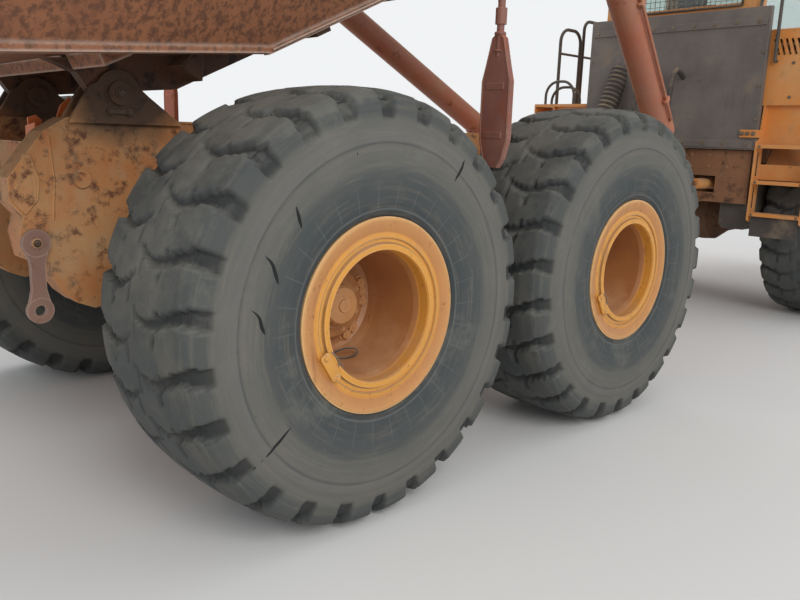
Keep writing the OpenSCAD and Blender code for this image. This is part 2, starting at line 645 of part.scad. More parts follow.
// Deck posts stand between the cab's side and the mudguard
deck_post_y = [cab_half + face_gap, tyre_in_y - face_gap];
module front_frame() color(frame_paint) from_rear_axle() difference() {
    union() {
        both_sides() across(front_rail_y[0], front_rail_y[1]) polygon([[5570, front_rail_z[0]],
            [9150, front_rail_z[0]], [9150, front_rail_z[1]], [5570, front_rail_z[1]]]);
        both_sides() across(neck_y[0], neck_y[1]) polygon([[5250, 1000], [5450, 1000],
            [5800, front_rail_z[0]], [5800, front_rail_z[1]], [5600, 1620], [5250, 1620]]);
        for (x = [7100, 9000])
            box([x, x + 150], [-front_rail_y[0] - 1, front_rail_y[0] + 1], [front_rail_z[0] + 30, 1520]);
        box([5250, 5330], [-neck_y[1], neck_y[1]], [1000, 1620]);
        box([5570, 5700], [-neck_y[1], neck_y[1]], [front_rail_z[0], 1520]);
        for (z = [roll_z + hitch_half_h + face_gap, roll_z - hitch_half_h - face_gap - ear_h])
            translate([pivot_x, 0, z]) linear_extrude(ear_h) {
                circle(r = 150, $fn = 64);
                polygon([[0, -150], [260, -neck_y[1]], [260, neck_y[1]], [0, 150]]);
            }
        both_sides() for (z = [roll_z + steer_eye_h / 2 + face_gap,
            roll_z - steer_eye_h / 2 - face_gap - 26])
            translate([pivot_x + steer_base[0], 0, z]) linear_extrude(26) polygon([
                [-60, front_rail_y[1] - 5], [140, front_rail_y[1] - 5], [55, steer_base[1] + 50],
                [-35, steer_base[1] + 50]]);
        both_sides() translate([pivot_x + steer_base[0], steer_base[1], roll_z])
            cylinder(r = steer_pin_r, h = steer_eye_h + 90, center = true, $fn = 40);
        both_sides() for (x = [5620, 7420]) {
            box([x, x + 90], [front_rail_y[1] - 5, deck_post_y[1]], [1500, front_rail_z[1]]);
            box([x, x + 70], deck_post_y, [1500, deck_z - seat_gap]);
        }
        both_sides() for (x = [5640, 6850])
            box([x, x + 110], [front_rail_y[0], front_rail_y[1]], [1500, cab_floor_z - seat_gap]);
        both_sides() box([wheelbase - 80, wheelbase + 80], [front_rail_y[1] - 5, 570], [1470, 1540]);
        both_sides() box([5720, 5800], [245, 305], [1080, front_rail_z[0] + 5]);
    }
    translate([pivot_x, 0, roll_z]) cylinder(r = yaw_pin_r + pin_gap,
        h = 2 * (hitch_half_h + face_gap + ear_h) + 2, center = true, $fn = 48);
}

module front_axle() {
    axle_at(2);
    color(dark_steel) from_rear_axle() both_sides() {
        rod([wheelbase, 500, tyre_r + 100], [wheelbase, 500, 1470 - seat_gap], 60, 40);
        rod([5800 + seat_gap, 275, 1120], [wheelbase - 180, 275, 1120], 36, 32);
        box([wheelbase - 190, wheelbase], [245, 305], [1000, 1150]);
    }
}

module engine_block() color(dark_steel) from_rear_axle()
    box([7250, 8600], [-400, 400], [front_rail_z[1] + seat_gap, 2250]);

// Bonnet: a folded shell, hinged at its front foot
hood_back_x = 7060;
hood_front_x = 9260;
hood_low_z = 1640;
hood_t = 10;
hood_pin = [9200, 1600];
module hood_out(t) polygon([
    [hood_back_x - 2 * t, hood_low_z - 2 * t], [hood_front_x - t, hood_low_z - 2 * t],
    [hood_front_x - t, 2080 - t / 2], [hood_front_x - 120 - t / 2, 2200 - t],
    [hood_back_x - 2 * t, 2560 - t]]);
module hood_cross(t) polygon([
    [-hood_half + t, hood_low_z - 2 * t], [hood_half - t, hood_low_z - 2 * t], [hood_half - t, 2300],
    [hood_half - 130 - t / 2, 2600 - t], [-hood_half + 130 + t / 2, 2600 - t], [-hood_half + t, 2300]]);
module hood_solid(t) intersection() {
    along_x(hood_back_x - 2 * t, hood_front_x) hood_cross(t);
    across(-hood_half - 1, hood_half + 1) hood_out(t);
}
module bonnet() color(paint) from_rear_axle() difference() {
    union() {
        difference() {
            hood_solid(0);
            hood_solid(hood_t);
        }
        both_sides() across(560, 600) hinge_foot();
    }
    box([hood_front_x - 30, hood_front_x + 10], [-520, 520], [1700, 2040]);
    for (z = [1850:60:2200]) for (x = [7500, 8150]) box([x, x + 420],
        [-hood_half - 1, hood_half + 1], [z, z + 22]);
    both_sides() disc_y(hood_pin, 20 + pin_gap, 550, 610, 32);
}
module hinge_foot() polygon([[9165, 1570], [9235, 1570], [9252, 1700], [9140, 1700]]);

module bonnet_grille() color(dark_steel) from_rear_axle() {
    box([hood_front_x - 26, hood_front_x - 10], [-520 + seat_gap, -490], [1700 + seat_gap, 2040 - seat_gap]);
    box([hood_front_x - 26, hood_front_x - 10], [490, 520 - seat_gap], [1700 + seat_gap, 2040 - seat_gap]);
    for (z = [1700 + seat_gap:42:2010])
        box([hood_front_x - 26, hood_front_x - 10], [-495, 495], [z, z + 16]);
}

module bumper() color(paint) from_rear_axle() difference() {
    union() {
        box([9150 + seat_gap, nose_x], [-950, 950], [900, 1540]);
        both_sides() across(600 + face_gap, 640) polygon([[9155, 1530], [9245, 1530],
            [9225, 1625], [9175, 1625]]);
        both_sides() disc_y(hood_pin, 20, 556, 630, 32);
    }
    both_sides() box([nose_x - 60, nose_x + 1], [470, 800], [1180, 1420]);
    box([nose_x - 120, nose_x + 1], [-330, 330], [1000, 1400]);
    both_sides() box([9180, nose_x - 80], [360, 920], [880, 1510]);
    box([9180, nose_x - 150], [-330, 330], [880, 1510]);
}

// Lamp unit: a lens plate over two round reflectors
module head_lamps() color(glass_tint) from_rear_axle() both_sides() {
    box([nose_x - 22, nose_x - 6], [475, 795], [1185, 1415]);
    for (y = [560, 710]) translate([nose_x - 60 + seat_gap, y, 1300]) rotate([0, 90, 0])
        cylinder(r1 = 40, r2 = 66, h = 40, $fn = 40);
}

// Front mudguards with the decks above
deck_z = 2030;
guard_y = [tyre_in_y + 2.5, tyre_out_y - 12.5];
module mudguards() color(paint) from_rear_axle() {
    both_sides() mudguard();
    side_box();
}
module mudguard() {
    across(guard_y[0], guard_y[1]) difference() {
        translate([wheelbase, tyre_r]) circle(r = 1040, $fn = 96);
        translate([wheelbase, tyre_r]) circle(r = 1030, $fn = 96);
        translate([wheelbase - 1100, tyre_r - 1100]) square([2200, 1500]);
    }
    for (x = [-500, 0, 500]) box([wheelbase + x - 20, wheelbase + x + 20], guard_y,
        [tyre_r + sqrt(1035 * 1035 - x * x) - 12, deck_z + 1]);
    box([5420, 7520], [cab_half + 12, guard_y[1]], [deck_z, deck_z + 30]);
    box([5420, 7520], [guard_y[1] - 12, guard_y[1]], [deck_z - 70, deck_z + 1]);
}

// Cabinet on the right deck, with its corners cut and slanted louvres in the rear face
box_x = [5420, 6600];
box_y = [cab_half + 12, guard_y[1] - 40];
box_z = [deck_z + 29, 2700];
box_wall = 20;
module side_box() mirror([0, 1, 0]) difference() {
    along_x(box_x[0], box_x[1]) polygon([[box_y[0], box_z[0]], [box_y[1], box_z[0]],
        [box_y[1], box_z[1] - 90], [box_y[1] - 70, box_z[1]], [box_y[0], box_z[1]]]);
    along_x(box_x[0] + box_wall, box_x[1] - box_wall) polygon([
        [box_y[0] + box_wall, box_z[0] + box_wall], [box_y[1] - box_wall, box_z[0] + box_wall],
        [box_y[1] - box_wall, box_z[1] - 90], [box_y[1] - 70 - box_wall, box_z[1] - box_wall],
        [box_y[0] + box_wall, box_z[1] - box_wall]]);
    for (y = [box_y[0] + 200:50:box_y[0] + 420]) translate([box_x[0] - 1, y, 2470])
        rotate([20, 0, 0]) cube([box_wall + 2, 22, 150]);
}

// Rear shield below the cab, with two stiffening ribs
shield_half = step_y[0] - 6;
module rear_shield() color(dark_steel) from_rear_axle() {
    box([5350, cab_back_x - seat_gap], [-shield_half, shield_half], [1620 + seat_gap, 2900]);
    for (z = [1640, 2740]) box([5335, 5351], [30 - shield_half, shield_half - 30], [z, z + 60]);
}

// Steps at the back of each deck: two stringers with slotted treads, and a low step on rubber straps
step_x = [5330, 5480];
step_z = [1010, 1310, 1640];
stringer_t = 14;
tread_t = 30;
module tread(z) difference() {
    box(step_x, step_y, [z, z + tread_t]);
    box([step_x[0] + 12, step_x[1] - 12], [step_y[0] + 12, step_y[1] - 12], [z - 1, z + tread_t - 8]);
    for (x = [step_x[0] + 26:36:step_x[1] - 40]) for (y = [step_y[0] + 40:100:step_y[1] - 90])
        box([x, x + 18], [y, y + 70], [z, z + tread_t + 1]);
}
module stringer() polygon([[step_x[0], step_z[0] - 40], [step_x[0] + 60, step_z[0] - 60],
    [step_x[1], step_z[0]], [step_x[1], step_z[2]], [step_x[1], deck_z - seat_gap],
    [step_x[0] + 90, deck_z - seat_gap], [step_x[0] + 60, step_z[2] + 90], [step_x[0], step_z[2] + 60]]);
module ladders() color(paint) from_rear_axle() both_sides() {
    for (z = step_z) tread(z);
    for (y = [step_y[0], step_y[1] - stringer_t]) across(y, y + stringer_t) difference() {
        stringer();
        for (i = [0, 1]) translate([step_x[0] + 45, step_z[i] + 70])
            square([step_x[1] - step_x[0] - 90, step_z[i + 1] - step_z[i] - 110]);
    }
    for (z = [[step_z[1] + 40, 1490], [step_z[2] + tread_t - 1, deck_z - seat_gap]])
        box([step_x[1] - stringer_t, step_x[1]], step_y, z);
    box([5330, 5350 - seat_gap], [step_y[0] - 156, step_y[0] + stringer_t], [1735, 1805]);
    box([5330, step_x[0] + 80], [step_y[0], step_y[0] + stringer_t], [1735, 1805]);
}

// Bent tube rail that stands on its two feet, drawn across x and z from the first foot
rail_r = 19;
grab_r = 15;
module elbow(bend, r) rotate([90, 0, 0]) rotate_extrude(angle = 90, $fn = 48)
    translate([bend, 0]) circle(r = r, $fn = 24);
module hoop(width, height, bend, r) {
    for (x = [0, width]) translate([x, 0, 0]) cylinder(r = r, h = height - bend, $fn = 24);
    translate([bend, 0, height]) rotate([0, 90, 0]) cylinder(r = r, h = width - 2 * bend, $fn = 24);
    translate([width - bend, 0, height - bend]) elbow(bend, r);
    translate([bend, 0, height - bend]) rotate([0, -90, 0]) elbow(bend, r);
}
rail_side_y = guard_y[1] - 40;
// Each rail: [rear foot, length, height above the deck, bend, height of its middle bar]
deck_rail = [[5790, 410, 880, 150, 600], [6260, 640, 1020, 110, 600]];
module deck_rails() color(dark_steel) from_rear_axle() {
    for (rail = deck_rail) translate([rail[0], rail_side_y, deck_z + 30]) {
        hoop(rail[1], rail[2], rail[3], rail_r);
        translate([0, 0, rail[4]]) rotate([0, 90, 0]) cylinder(r = rail_r - 5, h = rail[1], $fn = 24);
    }
    for (foot = [[5460, rail_side_y - 80, 250], [5525, rail_side_y - 120, 190]])
        translate([foot[0], foot[1], deck_z + 30]) rotate([0, 0, -90]) hoop(380, foot[2], 160, grab_r);
    translate([5375, -820, 2900 + seat_gap]) rotate([0, 0, -90]) grab_loop();
    both_sides() {
        mirror_y = rail_side_y - 80;
        tube_path([[7440, mirror_y, deck_z + 30], [7440, mirror_y, 3150]], 16);
        box([7400, 7424], [mirror_y - 120, mirror_y + 100], [2650, 3120]);
        box([7423, 7445], [mirror_y - 10, mirror_y + 10], [2860, 2900]);
    }
}
// Loop beside the shield: one foot on its top edge, the other on the rear face of the cabinet
module grab_loop() {
    loop_w = shield_half - 750;
    loop_h = 110;
    drop = 480;
    bend = 80;
    cylinder(r = grab_r, h = loop_h - bend, $fn = 24);
    translate([bend, 0, loop_h]) rotate([0, 90, 0]) cylinder(r = grab_r, h = loop_w - 2 * bend, $fn = 24);
    translate([bend, 0, loop_h - bend]) rotate([0, -90, 0]) elbow(bend, grab_r);
    translate([loop_w - bend, 0, loop_h - bend]) elbow(bend, grab_r);
    translate([loop_w, 0, -drop]) cylinder(r = grab_r, h = drop + loop_h - bend, $fn = 24);
    translate([loop_w, 0, -drop]) sphere(r = grab_r, $fn = 24);
    translate([loop_w, 0, -drop]) rotate([-90, 0, 0]) cylinder(r = grab_r, h = box_x[0] - 5375 - seat_gap, $fn = 24);
}

// Cab: a folded shell with its windows and door opening cut
cab_front_x = cab_back_x + cab_len;
door_x = [cab_back_x + 450, cab_back_x + 1290];
door_z = [2090, 3480];
pane_y0 = cab_half - cab_wall / 2 - glass_t / 2;

module cab_outline(t) polygon([
    [cab_back_x + t, cab_floor_z + t], [cab_back_x + t, cab_top_z - 40 - t * 0.4],
    [cab_back_x + 60 + t * 0.4, cab_top_z - t], [cab_front_x - 160, cab_top_z - t],
    [cab_front_x - 90 - t * 0.6, cab_top_z - 60 - t * 0.4], [cab_front_x - t, 2700],
    [cab_front_x - t, cab_floor_z + t]]);

rear_window = [[-620, 620], [2960, 3500]];
right_window = [[cab_back_x + 160, cab_back_x + 1380], [2720, 3480]];
quarter_window = [[cab_back_x + 110, cab_back_x + 370], [2720, 3480]];
module cab_shell() color(paint) from_rear_axle() {
    cab_walls();
    cab_hinge_pins();
}

module cab_walls() difference() {
    across(-cab_half, cab_half) cab_outline(0);
    across(-cab_half + cab_wall, cab_half - cab_wall) cab_outline(cab_wall);
    box([cab_back_x - 1, cab_back_x + cab_wall + 1], rear_window[0], rear_window[1]);
    box([cab_front_x - 400, cab_front_x + 1], [-660, 660], [2720, 3500]);
    box(right_window[0], [-cab_half - 1, -cab_half + cab_wall + 1], right_window[1]);
    box(quarter_window[0], [cab_half - cab_wall - 1, cab_half + 1], quarter_window[1]);
    box(door_x, [cab_half - cab_wall - 1, cab_half + 1], door_z);
}

module pane_y(y, x, z) box([x[0] + seat_gap, x[1] - seat_gap], [y, y + glass_t],
    [z[0] + seat_gap, z[1] - seat_gap]);

module cab_glass() color(glass_tint) from_rear_axle() {
    box([cab_back_x + 26, cab_back_x + 26 + glass_t], [rear_window[0][0] + seat_gap,
        rear_window[0][1] - seat_gap], [rear_window[1][0] + seat_gap, rear_window[1][1] - seat_gap]);
    pane_y(-cab_half + 26, right_window[0], right_window[1]);
    pane_y(pane_y0, quarter_window[0], quarter_window[1]);
    across(-660 + seat_gap, 660 - seat_gap) polygon([[cab_front_x - 30, 2720 + seat_gap],
        [cab_front_x - 30 + glass_t, 2720 + seat_gap], [cab_front_x - 100 + glass_t, 3500 - seat_gap],
        [cab_front_x - 100, 3500 - seat_gap]]);
}

door_pin = [door_x[0] - 12, cab_half + 20];
door_hinge_z = [2250, 3300];
module cab_hinge_pins() for (z = door_hinge_z) {
    box([door_pin[0] - 40, door_pin[0] + 14], [cab_half - 1, cab_half + 34], [z - 40, z]);
    translate([door_pin[0], door_pin[1], z - 1]) cylinder(r = 8, h = 60, $fn = 24);
}
module door_knuckles() for (z = door_hinge_z) difference() {
    union() {
        translate([door_pin[0], door_pin[1], z + seat_gap]) cylinder(r = 14, h = 50, $fn = 24);
        box([door_pin[0], door_x[0] + 80], [door_pin[1] - 6, door_pin[1] + 6], [z + seat_gap, z + 50]);
        box([door_x[0] + 30, door_x[0] + 80], [cab_half - 1, door_pin[1] + 6], [z + seat_gap, z + 50]);
    }
    translate([door_pin[0], door_pin[1], z]) cylinder(r = 8 + pin_gap, h = 60, $fn = 24);
}

module cab_door() color(paint) from_rear_axle() difference() {
    union() {
        box([door_x[0] + face_gap, door_x[1] - face_gap], [cab_half - cab_wall, cab_half],
            [door_z[0] + face_gap, door_z[1] - face_gap]);
        door_knuckles();
    }
    box([door_x[0] + 90, door_x[1] - 90], [cab_half - cab_wall - 1, cab_half + 1], [2560, door_z[1] - 90]);
}
module door_glass() color(glass_tint) from_rear_axle()
    pane_y(pane_y0, [door_x[0] + 90, door_x[1] - 90], [2560, door_z[1] - 90]);

// Seat on its pedestal, steering column with its wheel, and the dash
seat_x = cab_back_x + 380;
seat_floor = cab_floor_z + cab_wall + seat_gap;
dash_x = cab_front_x - 420;
wheel_hub = [dash_x - 130, 2790];
wheel_lean = 28;
module cab_seat() color(dark_steel) from_rear_axle() {
    box([seat_x + 60, seat_x + 400], [-170, 170], [seat_floor, 2290]);
    across(-255, 255) polygon([[seat_x, 2280], [seat_x + 500, 2280], [seat_x + 520, 2330],
        [seat_x + 500, 2410], [seat_x + 120, 2395], [seat_x + 40, 2450], [seat_x - 60, 3000],
        [seat_x - 130, 3010], [seat_x - 60, 2450]]);
    across(-140, 140) polygon([[seat_x - 66, 3000], [seat_x - 78, 3170], [seat_x - 128, 3170],
        [seat_x - 124, 3000]]);
    both_sides() across(262, 322) polygon([[seat_x + 20, 2290], [seat_x + 330, 2290],
        [seat_x + 350, 2540], [seat_x + 20, 2540]]);
    both_sides() box([seat_x + 100, seat_x + 300], [165, 290], [2240, 2300]);
    difference() {
        across(-560, 560) polygon([[dash_x + 60, seat_floor], [cab_front_x - cab_wall - 40, seat_floor],
            [cab_front_x - cab_wall - 40, 2640], [dash_x + 90, 2700], [dash_x, 2600], [dash_x + 20, 2450],
            [dash_x + 120, 2400]]);
        across(-530, 530) polygon([[dash_x + 90, seat_floor - 1], [cab_front_x - cab_wall - 70, seat_floor - 1],
            [cab_front_x - cab_wall - 70, 2600], [dash_x + 110, 2660], [dash_x + 30, 2590],
            [dash_x + 50, 2470], [dash_x + 150, 2420]]);
    }
    rod([dash_x + 60, 0, 2600], [wheel_hub[0], 0, wheel_hub[1]], 32, 32);
    translate([wheel_hub[0], 0, wheel_hub[1]]) rotate([0, -wheel_lean, 0]) {
        rotate_extrude($fn = 48) translate([205, 0]) circle(r = 15, $fn = 16);
        for (a = [90, 210, 330]) rotate([0, 0, a]) rotate([0, 90, 0]) cylinder(r = 11, h = 205, $fn = 16);
        cylinder(r = 48, h = 36, center = true, $fn = 32);
    }
}

tank_y = [steer_base[1] + steer_r + 28, tyre_in_y - 27];
tank_z = [860, 1500 - seat_gap];
module side_tanks() color(dark_steel) from_rear_axle() both_sides() {
    along_x(5460, 6150) polygon([[tank_y[0], tank_z[0] + 40], [tank_y[0] + 40, tank_z[0]],
        [tank_y[1] - 70, tank_z[0]], [tank_y[1], tank_z[0] + 70], [tank_y[1], tank_z[1] - 50],
        [tank_y[1] - 50, tank_z[1]], [tank_y[0], tank_z[1]]]);
    translate([5540, tank_y[0] + 150, tank_z[1] - 1]) cylinder(r = 48, h = 46, $fn = 40);
}

stack_r = 80;
stack_top = 1600;
module exhaust_stack() color(dark_steel) from_rear_axle()
    translate([7260, -880, deck_z + 30 + seat_gap]) difference() {
        union() {
            cylinder(r = stack_r, h = stack_top, $fn = 48);
            cylinder(r = stack_r + 40, h = 16, $fn = 48);
            translate([0, 0, 260]) cylinder(r = stack_r + 34, h = 620, $fn = 48);
            for (z = [300, 820]) translate([0, 0, z]) cylinder(r = stack_r + 40, h = 24, $fn = 48);
        }
        translate([0, 0, stack_top - 400]) cylinder(r = stack_r - 6, h = 401, $fn = 48);
        translate([-200, -200, stack_top]) rotate([0, 24, 0]) cube([400, 400, 300]);
    }

// Shafts between the tandem axles and up to the hitch
module rear_shafts() color(dark_steel) from_rear_axle() {
    for (run = [[[410, tyre_r + 60], [tandem - 300, tyre_r + 10]],
        [[tandem + 410, tyre_r + 60], [frame_nose_x - 100, 1130]]]) {
        a = run[0] + [seat_gap, 0];
        b = run[1] - [seat_gap, 0];
        translate([a[0], 0, a[1]]) rotate([0, 90, 0]) cylinder(r = 75, h = 60, $fn = 32);
        translate([b[0] - 60, 0, b[1]]) rotate([0, 90, 0]) cylinder(r = 60, h = 60, $fn = 32);
        rod([a[0] + 40, 0, a[1]], [b[0] - 40, 0, b[1]], 45, 32);
    }
}

// Towing link that hangs from the right tail bracket
link_top = [-965, 1160];
link_drop = 290;
module tow_link() color(frame_paint) from_rear_axle() mirror([0, 1, 0]) {
    across(rail_out_y + 8, rail_out_y + 34) difference() {
        union() {
            translate(link_top) circle(r = 58, $fn = 40);
            translate(link_top - [0, link_drop]) circle(r = 55, $fn = 40);
            translate(link_top) polygon([[-44, -38], [44, -38], [30, -90], [30, -link_drop + 90],
                [44, -link_drop + 32], [-44, -link_drop + 32], [-30, -link_drop + 90], [-30, -90]]);
        }
        translate(link_top) circle(r = 20 + pin_gap, $fn = 40);
        translate(link_top - [0, link_drop]) circle(r = 24, $fn = 40);
    }
}

// Bellows duct on the shield, and service hoses that loop down to the steering ear
hose_r = 26;
hose_top_z = 2300;
ear_top_z = roll_z + hitch_half_h + face_gap + ear_h;
hose_routes = [for (side = [1, -1]) [
    [5350 - seat_gap, 150 * side, hose_top_z], [5270, 155 * side, hose_top_z + 40],
    [5180, 165 * side, hose_top_z + 55], [5100, 175 * side, hose_top_z + 10],
    [5055, 180 * side, hose_top_z - 110], [5040, 180 * side, hose_top_z - 300],
    [5045, 160 * side, hose_top_z - 480], [5060, 130 * side, ear_top_z + 120],
    [5070, 105 * side, ear_top_z + seat_gap]]];

function tangent(p, i) = unit(p[min(i + 1, len(p) - 1)] - p[max(i - 1, 0)]);
function ring_at(p, i, r, sides) =
    let (t = i == 0 ? [-1, 0, 0] : i == len(p) - 1 ? [0, 0, -1] : tangent(p, i),
        u = unit(cross(t, [0, 1, 0])), v = cross(t, u))
    [for (k = [0:sides - 1]) p[i] + r * (cos(k * 360 / sides) * u + sin(k * 360 / sides) * v)];

module swept_tube(p, r, sides) polyhedron(
    points = [for (i = [0:len(p) - 1]) each ring_at(p, i, r, sides)],
    faces = concat([[for (k = [0:sides - 1]) k]],
        [[for (k = [sides - 1:-1:0]) (len(p) - 1) * sides + k]],
        [for (i = [0:len(p) - 2], k = [0:sides - 1])
            [i * sides + k, (i + 1) * sides + k, (i + 1) * sides + (k + 1) % sides,
                i * sides + (k + 1) % sides]]));

duct_r = 105;
duct_base = [5180, 610, 1900];
duct_lean = 24;
module bellows_duct() translate(duct_base) rotate([0, duct_lean, -12]) rotate_extrude($fn = 48)
    polygon(concat([[0, 0]], [for (i = [0:23]) [duct_r - (i % 2) * 14, i * 24]], [[0, 23 * 24]]));

// Rubber flap that hangs below the lowest tread
flap_t = 12;
module step_flap() box([step_x[0] + 30, step_x[0] + 30 + flap_t], [step_y[0] + 30, step_y[1] - 30],
    [step_z[0] - 190, step_z[0] + tread_t - 8 - seat_gap]);

module hoses() color(rubber) from_rear_axle() {
    for (route = hose_routes) swept_tube(route, hose_r, 12);
    both_sides() step_flap();
}

module duct() color(rubber) from_rear_axle() {
    difference() {
        bellows_duct();
        box([5350 - seat_gap, 5700], [0, 900], [1700, 3000]);
    }
}

at_wheel(0, 1) tyre();  // tyre_rear_left
at_wheel(0, -1) tyre();  // tyre_rear_right
at_wheel(1, 1) tyre();  // tyre_middle_left
at_wheel(1, -1) tyre();  // tyre_middle_right
at_wheel(2, 1) tyre();  // tyre_front_left
at_wheel(2, -1) tyre();  // tyre_front_right
at_wheel(0, 1) wheel();  // wheel_rear_left
at_wheel(0, -1) wheel();  // wheel_rear_right
at_wheel(1, 1) wheel();  // wheel_middle_left
at_wheel(1, -1) wheel();  // wheel_middle_right
at_wheel(2, 1) wheel();  // wheel_front_left
at_wheel(2, -1) wheel();  // wheel_front_right
rear_frame();
tandem_axles();
bogie_beams();
dump_bed();
bed_underframe();
at_ejector(1) ejector();  // ejector_left
at_ejector(-1) ejector();  // ejector_right
from_rear_axle() on_side(1) hoist_barrel();  // hoist_barrel_left
from_rear_axle() on_side(-1) hoist_barrel();  // hoist_barrel_right
from_rear_axle() on_side(1) hoist_rod();  // hoist_rod_left
from_rear_axle() on_side(-1) hoist_rod();  // hoist_rod_right
hitch();
at_steer(1) steer_barrel();  // steer_barrel_left
at_steer(-1) steer_barrel();  // steer_barrel_right
at_steer(1) steer_rod();  // steer_rod_left
at_steer(-1) steer_rod();  // steer_rod_right
front_frame();
front_axle();
engine_block();
bonnet();
bonnet_grille();
bumper();
head_lamps();
mudguards();
rear_shield();
ladders();
deck_rails();
cab_shell();
cab_glass();
cab_door();
door_glass();
cab_seat();
side_tanks();
exhaust_stack();
hoses();
duct();
rear_shafts();
tow_link();
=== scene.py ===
"""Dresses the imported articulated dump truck: finishes, worn tyres, fastenings, camera and light."""

import logging
import math
import random
from dataclasses import dataclass, field
from enum import Enum

import bmesh
import bpy
import numpy as np
from mathutils import Matrix, Vector

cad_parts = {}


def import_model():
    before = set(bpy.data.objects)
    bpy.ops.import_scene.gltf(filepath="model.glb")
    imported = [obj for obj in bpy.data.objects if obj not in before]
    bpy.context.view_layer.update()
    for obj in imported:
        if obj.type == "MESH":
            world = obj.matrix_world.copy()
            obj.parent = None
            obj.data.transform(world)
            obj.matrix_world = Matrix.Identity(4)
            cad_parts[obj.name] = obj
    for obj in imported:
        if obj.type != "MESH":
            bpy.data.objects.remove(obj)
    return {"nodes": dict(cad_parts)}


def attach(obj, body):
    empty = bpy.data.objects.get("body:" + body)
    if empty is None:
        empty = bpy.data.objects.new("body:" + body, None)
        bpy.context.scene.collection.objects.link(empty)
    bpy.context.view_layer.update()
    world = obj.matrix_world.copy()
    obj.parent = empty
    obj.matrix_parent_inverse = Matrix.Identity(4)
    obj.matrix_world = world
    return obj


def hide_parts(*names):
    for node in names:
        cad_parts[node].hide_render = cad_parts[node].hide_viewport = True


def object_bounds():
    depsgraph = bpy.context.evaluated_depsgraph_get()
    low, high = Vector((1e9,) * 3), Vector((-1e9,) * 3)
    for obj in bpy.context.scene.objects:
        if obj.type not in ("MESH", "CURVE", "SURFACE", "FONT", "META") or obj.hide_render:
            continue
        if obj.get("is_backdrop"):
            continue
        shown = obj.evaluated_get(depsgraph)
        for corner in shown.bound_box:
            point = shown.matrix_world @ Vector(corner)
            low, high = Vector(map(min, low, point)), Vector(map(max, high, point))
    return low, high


Form = bmesh.types.BMesh
Piece = bpy.types.Object
Socket = bpy.types.NodeSocket
Outline = tuple[tuple[float, float], ...]

LOG = logging.getLogger("truck")
EAST, NORTH, UP = Vector((1, 0, 0)), Vector((0, 1, 0)), Vector((0, 0, 1))

# Places shared with the source: metres for the wheels, millimetres from the rear axle for the rest
REAR_AXLE_X = -3.68186
AXLE_X = {"rear": 0.0, "middle": 1.95, "front": 6.45}
TYRE_R = 0.92
TYRE_HALF = 0.3675
HALF_TRACK = 1.325
BED_RAISE = math.radians(25.0)
HINGE = (-580.0, 1790.0)
HOIST_TOP_LOWERED = (1642.0, 1517.0, 2420.0)
HOIST_BASE = (4710.0, 620.0, 1000.0)
EJECTOR_PIN_LOWERED = (975.0, 1570.0, 1930.0)


def at(x: float, y: float, z: float) -> Vector:
    """Turns millimetres from the rear axle into a place in the row frame."""
    return Vector((REAR_AXLE_X + x / 1000, y / 1000, z / 1000))


def on_y(y: float, outline: Outline) -> list[Vector]:
    """Places (x, z) points, in millimetres, on a plane across Y."""
    return [at(x, y, z) for x, z in outline]


def on_x(x: float, outline: Outline, sign: int = 1) -> list[Vector]:
    """Places (y, z) points, in millimetres, on a plane across X, mirrored where the sign is -1."""
    return [at(x, sign * y, z) for y, z in outline]


def rectangle(low: float, high: float, foot: float, top: float) -> Outline:
    """Gives the corners of a rectangle, counted round from its low foot."""
    return (low, foot), (high, foot), (high, top), (low, top)


def raised(x: float, y: float, z: float) -> Vector:
    """Turns a point that was drawn on the lowered bed to its place at rest.

    Args:
        x: millimetres ahead of the rear axle.
        y: millimetres to the left.
        z: millimetres above the ground.

    Returns:
        The place in the row frame, with the bed raised.
    """
    c, s = math.cos(BED_RAISE), math.sin(BED_RAISE)
    dx, dz = x - HINGE[0], z - HINGE[1]
    return at(HINGE[0] + dx * c - dz * s, y, HINGE[1] + dx * s + dz * c)


class Side(Enum):
    """The two sides of the truck, valued by the sign of Y."""

    LEFT = 1
    RIGHT = -1

    @property
    def word(self) -> str:
        """The side's name as node names have it."""
        return self.name.lower()


def linear(hex_colour: str) -> tuple[float, float, float, float]:
    """Turns an sRGB hex colour into linear values.

    Args:
        hex_colour: six digits, with or without a leading hash.

    Returns:
        Red, green, blue and an alpha of one.
    """
    text = hex_colour.lstrip("#")
    values = [int(text[i:i + 2], 16) / 255 for i in (0, 2, 4)]
    return (*[v / 12.92 if v <= 0.04045 else ((v + 0.055) / 1.055) ** 2.4 for v in values], 1.0)


def add_node(tree: bpy.types.NodeTree, kind: str, settings: dict | None = None,
             inputs: dict | None = None) -> bpy.types.Node:
    """Adds one node with its settings, values and links.

    Args:
        tree: the node tree that gets the node.
        kind: the node's type name.
        settings: attributes to set on the node.
        inputs: socket names or numbers to a value, or to the output socket that feeds it.

    Returns:
        The new node.
    """
    node = tree.nodes.new(kind)
    for key, value in (settings or {}).items():
        setattr(node, key, value)
    for key, value in (inputs or {}).items():
        if isinstance(value, bpy.types.NodeSocket):
            tree.links.new(value, node.inputs[key])
        else:
            node.inputs[key].default_value = value
    return node


